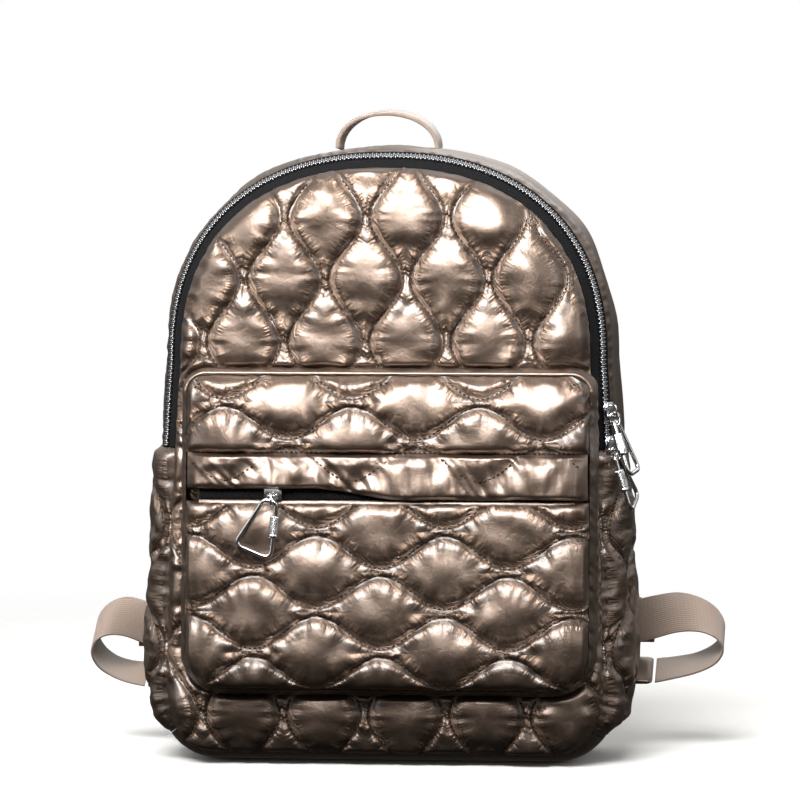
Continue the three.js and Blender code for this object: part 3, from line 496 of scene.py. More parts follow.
def addStitches(bm, points, outward, pitch=None, length=None):
    # points run along the sewn line, in mm, and outward points off the cloth at each of them
    if len(points) < 3:
        return
    pitch = pitch or stitching["pitch"]
    length = length or stitching["length"]
    run = np.concatenate([[0], np.cumsum(np.linalg.norm(np.diff(points, axis=0), axis=1))])
    for start in np.arange(pitch / 2, run[-1] - pitch / 2, pitch):
        here = Vector([np.interp(start, run, points[:, axis]) for axis in range(3)])
        ahead = Vector([np.interp(start + 0.6, run, points[:, axis]) for axis in range(3)])
        up = Vector([np.interp(start, run, outward[:, axis]) for axis in range(3)]).normalized()
        along = (ahead - here).normalized()
        over = up.cross(along).normalized()
        up = along.cross(over)
        turned = Matrix((along * length / 2, over * stitching["wide"] / 2,
                         up * stitching["high"] / 2)).transposed().to_4x4()
        spot = Matrix.Translation(here * mm) @ Matrix.Diagonal((mm, mm, mm, 1)) @ turned
        bmesh.ops.create_icosphere(bm, subdivisions=1, radius=1, matrix=spot)


def pointsWhere(points, outward, shown):
    # Splits a line into the stretches where it shows
    runs, current = [], []
    for place, isShown in enumerate(shown):
        if isShown:
            current.append(place)
        elif current:
            runs.append(current)
            current = []
    if current:
        runs.append(current)
    return [(points[run], outward[run]) for run in runs if len(run) > 4]


forward = np.array([0.0, -1.0, 0.0])


def forwardAt(line):
    return np.tile(forward, (len(line), 1))


# Front pocket's outline

pocket = {
    "width": 261,
    "shift": 4,
    "bottom": 51,
    "top": 253,
    "baseDepth": 18,
    "topDepth": 11,
    "crown": 6,
    "roll": 26,
    "flare": 4,
    "cornerLow": 24,
    "cornerHigh": 12,
    "tuck": 203,
    "slotBottom": 172,
    "seamFade": 2.4,         # how far from the edge the puffs begin
}
pocketLeft = pocket["shift"] - pocket["width"] / 2
pocketRight = pocket["shift"] + pocket["width"] / 2


def pocketOutline(grow):
    def corner(radius, start, centreX, centreZ):
        angles = start + np.linspace(0, math.pi / 2, 13)
        return np.stack([centreX + (radius + grow) * np.cos(angles),
                         centreZ + (radius + grow) * np.sin(angles)], axis=-1)
    low, high = pocket["cornerLow"], pocket["cornerHigh"]
    return np.concatenate([
        corner(low, -math.pi / 2, pocketRight - low, pocket["bottom"] + low),
        corner(high, 0, pocketRight - high, pocket["top"] - high),
        corner(high, math.pi / 2, pocketLeft + high, pocket["top"] - high),
        corner(low, math.pi, pocketLeft + low, pocket["bottom"] + low),
    ])


pocketRim = pocketOutline(0)
pocketFoot = pocketOutline(pocket["flare"])


def pocketEdge(z):
    rise = (z - pocket["bottom"]) / (pocket["top"] - pocket["bottom"])
    depth = pocket["baseDepth"] + (pocket["topDepth"] - pocket["baseDepth"]) * rise
    return frontSeam(z) - body["frontLift"] - body["crown"] - depth


def pocketBase(x, z):
    rolled = 1 - clamp(depthInside(pocketRim, x, z) / pocket["roll"])
    return pocketEdge(z) - pocket["crown"] * (1 - rolled ** 2)


# Quilted panels. A panel's grid runs over the seams by column and along them by length, so its edges
# lie on the sewn lines.

panels = []


def quiltedPanel(name, quilt, columns, along, rows, acrossOf, toPlane, toPoint, fade, outline, seed,
                 outward):
    perChannel = 10
    count = int(round((columns[1] - columns[0]) * perChannel))
    bm, u, v = flatGrid(count, rows)
    column = columns[0] + np.round(u * count) / perChannel
    run = along[0] + (along[1] - along[0]) * v
    a, b = toPlane(acrossOf(column, run), run)
    depth = np.full(a.shape, 99.0)
    if outline is not None:
        depth, nearA, nearB = nearestOn(outline, a, b)
        kept = trimGrid(bm, depth)
        column, run, depth, a, b = column[kept], run[kept], depth[kept], a[kept], b[kept]
        isOut = depth < 0.3
        a, b = np.where(isOut, nearA[kept], a), np.where(isOut, nearB[kept], b)
        depth = np.maximum(depth, 0)
    share = column - np.floor(column + 1e-6)
    wide = acrossOf(np.floor(column + 1e-6) + 1, run) - acrossOf(np.floor(column + 1e-6), run)
    room = wide / (quilt["pitch"] - neckGap)
    puff = quilt["rise"] * (1 - np.abs(2 * clamp(share) - 1) ** 2.6) ** 0.5 * np.maximum(room, 0.02) ** 0.5
    risen = fade(a, b, depth)
    placePoints(bm, toPoint(a, b, 0.85 * puff * risen), np.stack([a, b], axis=-1))
    isSeam = np.abs(column - np.round(column)) < 1e-3
    crease = bm.edges.layers.float.new("crease_edge")
    for edge in bm.edges:
        if isSeam[edge.verts[0].index] and isSeam[edge.verts[1].index]:
            edge[crease] = 0.7
    piece = newPiece(name, bm, outward)
    # How far each point lies off the nearest sewn line, and where along it
    seam = np.round(column)
    aside = acrossOf(column, run) - acrossOf(seam, run)
    slope = (acrossOf(seam, run + 1) - acrossOf(seam, run - 1)) / 2
    off = np.abs(aside) / np.sqrt(1 + slope ** 2)
    lengthwise = run + aside * slope / (1 + slope ** 2) + seam * 23 + np.sign(aside) * 11
    drawn = np.exp(-(off / 5.5) ** 2)
    for title, values in (("along_seam", lengthwise), ("off_seam", off / 4), ("drawn_in", drawn)):
        piece.data.attributes.new(title, "FLOAT", "POINT").data.foreach_set("value",
                                                                            values.astype(np.float32))
    panels.append({
        "piece": piece, "off": off, "lengthwise": lengthwise, "risen": risen, "seed": seed,
        "sewn": isSeam | (risen < 0.08),
    })
    return piece


def lineOn(quilt, seam, along, toPlane, toPoint, shown, lift=0.7):
    # Points along one sewn line, split where something covers it
    run = np.arange(along[0], along[1], 1.2)
    a, b = toPlane(seamAt(quilt, seam, run), run)
    return pointsWhere(toPoint(a, b, lift), forwardAt(run), shown(a, b))


def bodyPlane(across, along):
    return across, along


def bodyPoint(x, z, rise):
    return np.stack([x, frontBase(x, z) - rise, z], axis=-1)


def bodyFade(x, z, depth):
    offPocket = -depthInside(pocketFoot, x, z) - 1
    return smooth(depth / 2.5) * (0.1 + 0.9 * smooth(offPocket / 2.2))


threadBeads = bmesh.new()
bodySpan = (-4, body["height"] + 4)
quiltedPanel("front_panel_cloth", bodyQuilt, (-6, 7), bodySpan, 250,
             lambda column, along: quiltAcross(bodyQuilt, column, along),
             bodyPlane, bodyPoint, bodyFade, frontOutline, 1.3, forward)
for seam in range(-6, 8):
    for points, outward in lineOn(
            bodyQuilt, seam, bodySpan, bodyPlane, bodyPoint,
            lambda x, z: (depthInside(frontOutline, x, z) > 3) & (depthInside(pocketFoot, x, z) < -1)):
        addStitches(threadBeads, points, outward)

# Side panels, between the bottom corners and the ends of the zip
sideLengths = (bottomSeam + 0.6, zipEnd - 0.3)


def sideAcross(column, length):
    first, last = seamAt(sideQuilt, 0, length), seamAt(sideQuilt, 3, length)
    low = 0.3 + (first - 0.3) * (column + 1)
    high = last + (gussetDepth(length) - 0.3 - last) * (column - 3)
    return np.where(column < 0, low, np.where(column > 3, high, quiltAcross(sideQuilt, column, length)))


def sideFade(fromSeam, length, depth):
    ends = np.minimum(length - sideLengths[0], sideLengths[1] - length)
    edges = np.minimum(fromSeam, gussetDepth(length) - fromSeam)
    return smooth(ends / 4) * smooth((length - sideLengths[0]) / 16) * smooth(edges / 2.4)


for sideName, sign in (("right", 1), ("left", -1)):
    def sidePoint(fromSeam, length, rise, sign=sign):
        return gussetPoint(length, fromSeam, rise) * np.array([sign, 1, 1])

    quiltedPanel(f"side_panel_cloth_{sideName}", sideQuilt, (-1, 4), sideLengths, 100,
                 sideAcross, bodyPlane, sidePoint, sideFade, None, 4.1 + sign, (sign, 0, 0))
    for seam in range(4):
        run = np.arange(sideLengths[0] + 2, sideLengths[1] - 2, 1.2)
        points = sidePoint(seamAt(sideQuilt, seam, run), run, 0.7)
        addStitches(threadBeads, points, points - sidePoint(seamAt(sideQuilt, seam, run), run, -1))

# Pocket panels: their channels lie across, so the plane is turned

def pocketPlane(across, along):
    return along, across


def pocketPoint(x, z, rise):
    return np.stack([x, pocketBase(x, z) - rise, z], axis=-1)


def between(low, high):
    # The pocket's outline between two heights
    inner = pocketRim[(pocketRim[:, 1] > low) & (pocketRim[:, 1] < high)]
    corners = []
    for z in (low, high):
        if pocket["bottom"] + pocket["cornerLow"] <= z <= pocket["top"] - pocket["cornerHigh"]:
            corners += [[pocketLeft, z], [pocketRight, z]]
    points = np.concatenate([inner, np.array(corners)]) if corners else inner
    centre = np.array([pocket["shift"], (low + high) / 2])
    turns = np.arctan2((points[:, 1] - centre[1]) / (high - low),
                       (points[:, 0] - centre[0]) / pocket["width"])
    return points[np.argsort(turns)]


def pocketPanel(name, quilt, low, high, seed):
    outline = between(low, high)
    first = math.floor(2 * (low - quilt["across"]) / quilt["pitch"]) - 1
    last = math.ceil(2 * (high - quilt["across"]) / quilt["pitch"]) + 1

    def fade(x, z, depth):
        return smooth(depth / pocket["seamFade"])

    quiltedPanel(name, quilt, (first, last), (pocketLeft - 3, pocketRight + 3), 150,
                 lambda column, along: quiltAcross(quilt, column, along),
                 pocketPlane, pocketPoint, fade, outline, seed, forward)
    for seam in range(first, last + 1):
        for points, outward in lineOn(quilt, seam, (pocketLeft, pocketRight), pocketPlane, pocketPoint,
                                      lambda x, z: depthInside(outline, x, z) > 2.5):
            addStitches(threadBeads, points, outward)


pocketPanel("pocket_lower_cloth", lowerQuilt, pocket["bottom"], pocket["slotBottom"], 7.7)
pocketPanel("pocket_upper_cloth", upperQuilt, pocket["tuck"] + 0.3, pocket["top"], 9.2)
print("quilted panels laid out")

# The sewn-down cloth swells under pressure, as wadding pushes it out between the seams
swelling = {"pressure": 4, "grow": 0.045, "cap": 3.2, "frames": 20}


def readyToSwell(panel):
    piece = panel["piece"]
    group = piece.vertex_groups.new(name="sewn")
    group.add([int(place) for place in np.flatnonzero(panel["sewn"])], 1.0, "REPLACE")
    maker = piece.modifiers.new("swell", "CLOTH")
    maker.collision_settings.use_collision = False
    maker.point_cache.frame_end = swelling["frames"]
    cloth = maker.settings
    cloth.vertex_group_mass = "sewn"
    cloth.quality = 4
    cloth.mass = 0.2
    cloth.tension_stiffness = 12
    cloth.compression_stiffness = 12
    cloth.shear_stiffness = 6
    cloth.bending_stiffness = 0.3
    cloth.use_pressure = True
    cloth.uniform_pressure_force = swelling["pressure"]
    cloth.shrink_min = -swelling["grow"]
    cloth.effector_weights.gravity = 0


for panel in panels:
    readyToSwell(panel)
for step in range(1, swelling["frames"] + 1):
    scene.frame_set(step)
graph = bpy.context.evaluated_depsgraph_get()
swollen = []
for panel in panels:
    blown = panel["piece"].evaluated_get(graph).to_mesh()
    flat = np.empty(len(blown.vertices) * 3)
    blown.vertices.foreach_get("co", flat)
    swollen.append(flat.reshape(-1, 3) / mm)
for panel, target in zip(panels, swollen):
    piece = panel["piece"]
    piece.modifiers.clear()
    piece.vertex_groups.clear()
    start = pointsOf(piece)
    shift = target - start
    far = np.linalg.norm(shift, axis=1, keepdims=True)
    movePoints(piece, start + shift * np.minimum(1, swelling["cap"] / np.maximum(far, 1e-6)))
scene.frame_set(1)
print("quilting swollen")

# Gathers: creases run square to every sewn line, and the puffs carry broad soft dents
gathers = {"spacing": 5.2, "deep": 3, "reach": 9, "dent": 2.1, "dentSize": 16}


def gatherPanel(panel):
    piece, off, risen, seed = panel["piece"], panel["off"], panel["risen"], panel["seed"]
    points, normals = pointsOf(piece), normalsOf(piece)
    crease = ripple(panel["lengthwise"] / gathers["spacing"], off / 18, seed)
    near = np.exp(-(off / gathers["reach"]) ** 2) * smooth(off / 1.4)
    dent = ripple(points[:, 0] / gathers["dentSize"] + points[:, 1] / 20,
                  points[:, 2] / gathers["dentSize"], seed + 5)
    edge = ripple(points[:, 0] / 4.6, points[:, 2] / 4.6, seed + 9)
    lift = risen * (crease * near * gathers["deep"] + dent * gathers["dent"] * smooth(off / 9))
    lift += (1 - risen) * 0.6 * edge
    movePoints(piece, points + normals * lift[:, None])


for panel in panels:
    gatherPanel(panel)
    addSmoothing(panel["piece"])

replaced = {
    "front_panel_cloth": "front_panel",
    "side_panel_cloth_right": "side_panel_right",
    "side_panel_cloth_left": "side_panel_left",
    "pocket_lower_cloth": "pocket_lower_panel",
    "pocket_upper_cloth": "pocket_upper_panel",
}
for panel in panels:
    finishPiece(panel["piece"], nylon, "quilted_nylon", replaced[panel["piece"].name])
print("quilted panels done")


# Plain cloth on the band: top gusset, bottom, and the zip tapes

def gussetCloth(name, lengths, depths, columns, rows, liftOf, outward):
    bm, u, v = flatGrid(columns, rows)
    length = lengths[0] + (lengths[1] - lengths[0]) * u
    low, high = depths(length)
    fromSeam = low + (high - low) * v
    points = gussetPoint(length, fromSeam, liftOf(length, fromSeam, high - fromSeam))
    placePoints(bm, points, np.stack([length, fromSeam], axis=-1))
    return newPiece(name, bm, outward)


def evenDepth(low, high):
    return lambda length: (np.full(length.shape, low), np.full(length.shape, high))


def wholeDepth(length):
    return np.full(length.shape, 0.3), gussetDepth(length) - 0.3


zipDepth = {"front": 5.1, "teethFrom": 5.4, "teethTo": 10, "rear": 13.7}


def topLift(length, fromSeam, toBack):
    fromZip = fromSeam - zipDepth["rear"]
    edges = 1.5 * np.exp(-fromZip / 12) + 0.9 * np.exp(-toBack / 9)
    gathered = ripple(length / 3.6, fromSeam / 26, 2.2) * edges
    soft = ripple(length / 46, fromSeam / 34, 6.1) * 3 * smooth(fromZip / 16) * smooth(toBack / 16)
    return 0.9 * gathered * smooth(fromZip / 1.5) + soft


topCloth = gussetCloth("top_gusset_cloth", (zipEnd, zipStart),
                       lambda length: (np.full(length.shape, zipDepth["rear"]), gussetDepth(length) - 0.3),
                       420, 40, topLift, (0, 0, 1))
addSmoothing(topCloth)
finishPiece(topCloth, nylon, "quilted_nylon", "top_gusset")


def bottomLift(length, fromSeam, toBack):
    edge = np.exp(-fromSeam / 7) + np.exp(-toBack / 7)
    return ripple(length / 3.4, fromSeam / 20, 3.9) * 0.8 * edge * smooth(np.minimum(fromSeam, toBack) / 2)


bottomCloth = gussetCloth("bottom_cloth", (-bottomSeam, bottomSeam), wholeDepth, 240, 50, bottomLift,
                          (0, 0, -1))
addSmoothing(bottomCloth)
finishPiece(bottomCloth, nylon, "quilted_nylon", "bottom_panel")


def tapeLift(length, fromSeam, toBack):
    return 0.35 * ripple(length / 9, fromSeam / 9, 8.8) - 0.2


for name, low, high in (("zip_tape_front", 0.2, zipDepth["front"] + 0.3),
                        ("zip_tape_rear", zipDepth["teethTo"], zipDepth["rear"] + 0.5)):
    tape = gussetCloth(name + "_cloth", (zipEnd, zipStart), evenDepth(low, high), 420, 4, tapeLift,
                       (0, 0, 1))
    addWall(tape, 0.6)
    finishPiece(tape, tapeCloth, "zip_tape", name)

# Main zip's teeth: the two rows mesh, so every second tooth belongs to the other tape
teeth = {"pitch": 1.42, "long": 0.98, "wide": 3.9, "high": 2, "offset": 0.55}


def makeTeeth():
    bm = bmesh.new()
    middle = (zipDepth["teethFrom"] + zipDepth["teethTo"]) / 2
    spots = np.arange(zipEnd + 1, zipStart - 1, teeth["pitch"])
    low = gussetPoint(spots, np.full(spots.shape, middle), np.full(spots.shape, 0.5))
    top = gussetPoint(spots, np.full(spots.shape, middle), np.full(spots.shape, 1.5))
    ahead = gussetPoint(spots + 0.5, np.full(spots.shape, middle), np.full(spots.shape, 0.5))
    for place, (point, above, after) in enumerate(zip(low, top, ahead)):
        up = Vector(above - point).normalized()
        along = Vector(after - point).normalized()
        over = up.cross(along).normalized()
        shift = over * teeth["offset"] * (1 if place % 2 else -1)
        turned = Matrix((along * teeth["long"], over * teeth["wide"],
                         up * teeth["high"])).transposed().to_4x4()
        bmesh.ops.create_cube(bm, size=1, matrix=Matrix.Translation((Vector(point) + shift) * mm)
                              @ Matrix.Diagonal((mm, mm, mm, 1)) @ turned)
    bmesh.ops.bevel(bm, geom=bm.edges[:], offset=0.22 * mm, affect="EDGES", segments=1, profile=0.5,
                    material=-1)
    return newPiece("zip_teeth_metal", bm)


finishPiece(makeTeeth(), teethNickel, "zip_metal", "zip_teeth")
chainBed = gussetCloth("zip_chain_bed", (zipEnd, zipStart),
                       evenDepth(zipDepth["front"], zipDepth["teethTo"]), 300, 2,
                       lambda length, fromSeam, toBack: np.full(length.shape, -0.6), (0, 0, 1))
finishPiece(chainBed, tapeCloth, "zip_tape")
print("band and main zip done")

# Back panel: a plain pad with a rolled rim
bm, u, v = flatGrid(150, 190)
x, z = -halfWidth + 2 * halfWidth * u, body["height"] * v
depth, nearX, nearZ = nearestOn(backOutline, x, z)
kept = trimGrid(bm, depth)
x, z = np.where(depth < 0.2, nearX, x)[kept], np.where(depth < 0.2, nearZ, z)[kept]
depth = np.maximum(depth[kept], 0)
rolled = 1 - clamp(depth / 12)
dents = ripple(x / 34, z / 46, 4.4) * 1.7 * smooth(depth / 20)
dents += ripple(x / 9, z / 26, 7.4) * 0.8 * smooth(depth / 12)
dents += ripple(x / 4.4, z / 4.4, 5.5) * 1.2 * np.exp(-depth / 9)
placePoints(bm, np.stack([x, body["backFace"] - body["backPad"] * rolled ** 2.2 - 0.5 + dents * 0.6, z],
                         axis=-1),
            np.stack([x, z], axis=-1))
backCloth = newPiece("back_panel_cloth", bm, (0, 1, 0))
addSmoothing(backCloth)
finishPiece(backCloth, nylon, "quilted_nylon", "back_panel")


# Front pocket: gusset, tuck that overhangs the zip, zip, binding and topstitching

def alongLoop(outline, count):
    closed = np.concatenate([outline, outline[:1]])
    run = np.concatenate([[0], np.cumsum(np.hypot(*np.diff(closed, axis=0).T))])
    spots = np.linspace(0, run[-1], count + 1)
    return np.interp(spots, run, closed[:, 0]), np.interp(spots, run, closed[:, 1]), spots


def pocketGusset():
    around, across = 360, 16
    bm, u, v = flatGrid(around, across)
    rx, rz, run = alongLoop(pocketRim, around)
    fx, fz, _ = alongLoop(pocketFoot, around)
    step = np.round(u * around).astype(int)
    near = pocketEdge(rz[step]) + 0.6
    far = frontBase(fx[step], fz[step]) + 1
    bulge = np.sin(math.pi * v) * 1.1
    crimp = ripple(run[step] * (1 - (step == around)) / 3.3, v * 1.4, 6.6)
    edges = np.exp(-(v / 0.3) ** 2) + np.exp(-((1 - v) / 0.3) ** 2)
    bulge += crimp * (2 * edges * smooth(np.minimum(v, 1 - v) * 9) + 0.4)
    dx, dz = (fx - rx)[step] / pocket["flare"], (fz - rz)[step] / pocket["flare"]
    grow = pocket["flare"] * smooth(v * 1.3) + bulge
    grow = np.where(v < 0.02, 0.3, grow)
    points = np.stack([rx[step] + dx * grow, near + (far - near) * v, rz[step] + dz * grow], axis=-1)
    points[step == around] = points[step == 0]
    placePoints(bm, points, np.stack([run[step], v * 24], axis=-1))
    bmesh.ops.remove_doubles(bm, verts=bm.verts, dist=1e-6)
    bmesh.ops.recalc_face_normals(bm, faces=bm.faces)
    return newPiece("pocket_gusset_cloth", bm)


gussetPiece = pocketGusset()
addSmoothing(gussetPiece)
finishPiece(gussetPiece, nylon, "quilted_nylon", "pocket_gusset")

tuck = {
    "heights": (191, 185, 181.6, 180.2, 180.9, 183.5, 189, 196, 201, 203.2),
    "lifts": (0.2, 0.3, 0.7, 2.4, 4.4, 5.2, 5.4, 4.9, 3.2, 0.3),
    "puff": 3.4,
}


def seamGap(quilt, x, z):
    return np.min([np.abs(z - seamAt(quilt, seam, x)) for seam in range(-5, 3)], axis=0)


def shutAt(x):
    # The slot gapes on the left and lies shut on the right
    return smooth((x + 42) / 56)


def makeTuck():
    bm, u, v = flatGrid(190, 36)
    x = pocketLeft + 1 + (pocket["width"] - 2) * u
    steps = np.linspace(0, 1, len(tuck["heights"]))
    z = np.interp(v, steps, tuck["heights"])
    lift = np.interp(v, steps, tuck["lifts"])
    isFront = smooth((v - 0.42) / 0.12) * smooth((1 - v) / 0.12)
    off = seamGap(upperQuilt, x, z)
    ends = smooth(np.minimum(x - pocketLeft, pocketRight - x) / 9)
    puff = tuck["puff"] * (1 - np.exp(-(off / 9) ** 2)) * isFront * ends
    wrinkle = np.exp(-(off / 7) ** 2) * ripple((x + z) / 4.5, off / 16, 3.7) * 1.6 * isFront
    crimp = ripple(x / 3.3, z / 12, 2.9) * (1 - smooth((v - 0.5) / 0.5)) * 0.7
    crimp += ripple(x / 3.6, z / 12, 1.9) * smooth((v - 0.72) / 0.28) * 0.9
    lift += ripple(x / 9, z / 9, 4.8) * 1.5 * isFront + wrinkle
    sag = ripple(x / 38, z / 90, 7.9) * 1.2 * (1 - smooth((z - 181) / 16))
    lift = lift * (0.35 + 0.65 * ends) + puff + crimp * isFront
    sag -= 6.3 * shutAt(x) * (1 - smooth((z - 182) / 16))
    placePoints(bm, np.stack([x, pocketBase(x, z) - lift, z + sag], axis=-1),
                np.stack([x, v * 40], axis=-1))
    return newPiece("pocket_tuck_cloth", bm, forward)


tuckPiece = makeTuck()
addSmoothing(tuckPiece)
finishPiece(tuckPiece, nylon, "quilted_nylon", "pocket_welt")

slotX = (pocketLeft + 9, pocketRight - 9)


def pocketStrip(name, low, high, columns, rows, liftOf):
    bm, u, v = flatGrid(columns, rows)
    x, z = slotX[0] + (slotX[1] - slotX[0]) * u, low + (high - low) * v
    placePoints(bm, np.stack([x, pocketBase(x, z) - liftOf(x, z), z], axis=-1), np.stack([x, z], axis=-1))
    return newPiece(name, bm, forward)


zipTape = pocketStrip("pocket_zip_cloth", pocket["slotBottom"] - 1, pocket["tuck"] - 2, 120, 12,
                      lambda x, z: -1.6 + 0.15 * ripple(x / 12, z / 12, 3))
addWall(zipTape, 0.6)
finishPiece(zipTape, tapeCloth, "zip_tape", "pocket_zip_tape")

pocketCoil = {"low": 173.6, "high": 179.4, "middle": 176.5, "half": 3, "rise": 0.9, "pitch": 1.5}


def roundedRise(size, z):
    return size["rise"] * np.sqrt(clamp(1 - ((z - size["middle"]) / size["half"]) ** 2))


coil = pocketStrip("pocket_zip_coil_wound", pocketCoil["low"], pocketCoil["high"], 640, 8,
                   lambda x, z: -0.7 + roundedRise(pocketCoil, z)
                   + 0.28 * np.cos(2 * math.pi * x / pocketCoil["pitch"]))
finishPiece(coil, tapeCloth, "zip_tape", "pocket_zip_coil")

# The opening's lower lip: a narrow turned hem
pocketLip = {"low": 168.2, "high": 173.2, "middle": 170.7, "half": 2.6, "rise": 1.5}
lip = pocketStrip("pocket_lip", pocketLip["low"], pocketLip["high"], 200, 8,
                  lambda x, z: 0.3 + roundedRise(pocketLip, z) + 0.4 * ripple(x / 3.4, z / 9, 5.1))
finishPiece(lip, nylon, "quilted_nylon")


def wire(name, points, radius, closed=False, sides=4):
    curve = bpy.data.curves.new(name, "CURVE")
    curve.dimensions = "3D"
    curve.bevel_depth = radius * mm
    curve.bevel_resolution = sides
    curve.use_fill_caps = True
    spline = curve.splines.new("POLY")
    spline.points.add(len(points) - 1)
    for spot, point in zip(spline.points, points):
        spot.co = (*(Vector(point) * mm), 1)
    spline.use_cyclic_u = closed
    holder = bpy.data.objects.new(name, curve)
    scene.collection.objects.link(holder)
    graph = bpy.context.evaluated_depsgraph_get()
    mesh = bpy.data.meshes.new_from_object(holder.evaluated_get(graph))
    bpy.data.objects.remove(holder)
    piece = bpy.data.objects.new(name, mesh)
    scene.collection.objects.link(piece)
    return piece


def joinedPiece(name, pieces):
    bm = bmesh.new()
    for piece in pieces:
        bm.from_mesh(piece.data)
        bpy.data.objects.remove(piece)
    return newPiece(name, bm)


rimX, rimZ, _ = alongLoop(pocketOutline(1.2), 400)
isTop = rimZ > pocket["top"] - pocket["cornerHigh"]
order = np.argsort(-rimX[isTop])
edgeX, edgeZ = rimX[isTop][order], rimZ[isTop][order]
edgeY = pocketEdge(edgeZ) + 1 - 0.5 * ripple(edgeX / 3, edgeZ / 3, 1.1)
binding = wire("pocket_binding_cloth", np.stack([edgeX, edgeY, edgeZ], axis=-1), 1.5, sides=3)
finishPiece(binding, nylon, "quilted_nylon", "pocket_binding")


# The front's seam below the zip: a narrow roll, drawn in by its stitches
seamLengths = np.linspace(-zipEnd, zipEnd, 640)
seamPoints = gussetPoint(seamLengths, np.full(640, 0.2),
                         -1.3 + 0.5 * ripple(seamLengths / 3.4, seamLengths * 0, 2.6))
frontRoll = wire("front_seam_roll", seamPoints, 1.4, sides=3)
finishPiece(frontRoll, nylon, "quilted_nylon")


def topstitch(x, z, lift):
    points = np.stack([x, pocketBase(x, z) - lift, z], axis=-1)
    addStitches(threadBeads, points, forwardAt(x))


insetX, insetZ, _ = alongLoop(pocketOutline(-4.5), 500)
shown = (insetZ < pocket["slotBottom"] - 3) | (insetZ > pocket["tuck"] + 3)
inset = np.stack([insetX, pocketBase(insetX, insetZ) - 2.2, insetZ], axis=-1)
for points, outward in pointsWhere(inset, forwardAt(insetX), shown):
    addStitches(threadBeads, points, outward)
seamX = np.linspace(pocketLeft + 4, pocketRight - 4, 300)
topstitch(seamX, np.full(seamX.shape, pocket["tuck"] + 1.2), 1.2)
topstitch(seamX[20:-20], np.full(260, pocket["slotBottom"] - 3.4), 1.9)
for seam in range(-4, 1):
    lineZ = seamAt(upperQuilt, seam, seamX)
    inBand = (lineZ > 184) & (lineZ < 201)
    lift = np.interp(lineZ, tuck["heights"][4:], tuck["lifts"][4:])
    band = np.stack([seamX, pocketBase(seamX, lineZ) - lift - 0.4, lineZ], axis=-1)
    for points, outward in pointsWhere(band, forwardAt(seamX), inBand):
        addStitches(threadBeads, points, outward)
print("pocket done")

stitchPiece = newPiece("quilting_thread", threadBeads)
finishPiece(stitchPiece, thread, "quilted_nylon")
print("stitches done")

# Sliders and pulls. Each is made round its own origin and then placed: local X runs along the zip,
# local -Y points off the cloth and local -Z is down.
slider = {"length": 11, "width": 8.6, "thick": 3.2, "bailWire": 1.2, "reach": 5, "share": 0.72}
ringLink = {"wire": 1.5, "length": 10.4, "width": 8.6, "slack": 0.6}
screwLink = {"wire": 2.8, "sleeveRadius": 3.2, "sleeveLength": 14.5, "knurls": 22}
screwCorners = [(1.3, -20, 0), (-0.5, -37.5, 7), (-24, -27.5, 5.5), (-4.8, 1.4, 3), (3.2, -0.8, 2.4),
                (2, -13, 0)]


def turned(piece, matrix):
    lifted = matrix.copy()
    lifted.translation = lifted.translation * mm
    piece.data.transform(lifted)
    return piece


def makeSlider(name):
    half, wide = slider["length"] / 2, slider["width"] / 2
    bm = bmesh.new()
    rim = [(-half, -wide), (half * 0.4, -wide), (half, -wide * 0.66), (half, wide * 0.66),
           (half * 0.4, wide), (-half, wide)]
    for y, depth in ((0, -1.1), (-slider["thick"] + 1.1, -1.1)):
        face = bm.faces.new([bm.verts.new((a * mm, y * mm, b * mm)) for a, b in rim])
        grown = bmesh.ops.extrude_face_region(bm, geom=[face])
        moved = [item for item in grown["geom"] if isinstance(item, bmesh.types.BMVert)]
        bmesh.ops.translate(bm, verts=moved, vec=(0, depth * mm, 0))
    core = bmesh.ops.create_cube(bm, size=1)["verts"]
    bmesh.ops.scale(bm, verts=core, vec=(half * 1.5 * mm, slider["thick"] * 0.9 * mm, wide * 1.2 * mm))
    bmesh.ops.translate(bm, verts=core, vec=(0, -slider["thick"] / 2 * mm, 0))
    bmesh.ops.recalc_face_normals(bm, faces=bm.faces)
    bmesh.ops.bevel(bm, geom=bm.edges[:], offset=0.3 * mm, affect="EDGES", segments=2, profile=0.5,
                    material=-1)
    plates = newPiece(name + "_plates", bm)
    foot = slider["length"] * slider["share"] / 2 - slider["bailWire"] / 2
    top = -slider["thick"] - slider["reach"] + slider["bailWire"] / 2
    leg = [(foot, -slider["thick"] + 0.8), (foot, top + 1.6), (foot * 0.92, top + 0.6), (foot * 0.7, top)]
    arch = [(-along, y, 0) for along, y in leg] + [(along, y, 0) for along, y in leg[::-1]]
    bail = wire(name + "_bail", arch, slider["bailWire"] / 2, sides=3)
    return joinedPiece(name, [plates, bail])


def makeRing(name):
    straight = (ringLink["length"] - ringLink["width"]) / 2
    radius = (ringLink["width"] - ringLink["wire"]) / 2
    angles = np.linspace(0, 2 * math.pi, 49)[:-1]
    shift = np.where(np.sin(angles) >= 0, straight, -straight)
    points = np.stack([0 * angles, radius * np.cos(angles), radius * np.sin(angles) + shift], axis=-1)
    return wire(name, points, ringLink["wire"] / 2, closed=True, sides=4)


def roundedRoute(corners):
    route = [np.array([corners[0][0], 0, corners[0][1]])]
    for place in range(1, len(corners) - 1):
        here = np.array([corners[place][0], 0, corners[place][1]])
        before = np.array([corners[place - 1][0], 0, corners[place - 1][1]])
        after = np.array([corners[place + 1][0], 0, corners[place + 1][1]])
        radius = corners[place][2]
        cutIn = here + (before - here) / np.linalg.norm(before - here) * radius
        cutOut = here + (after - here) / np.linalg.norm(after - here) * radius
        for share in np.linspace(0, 1, 9):
            route.append((1 - share) ** 2 * cutIn + 2 * share * (1 - share) * here + share ** 2 * cutOut)
    route.append(np.array([corners[-1][0], 0, corners[-1][1]]))
    return np.array(route)


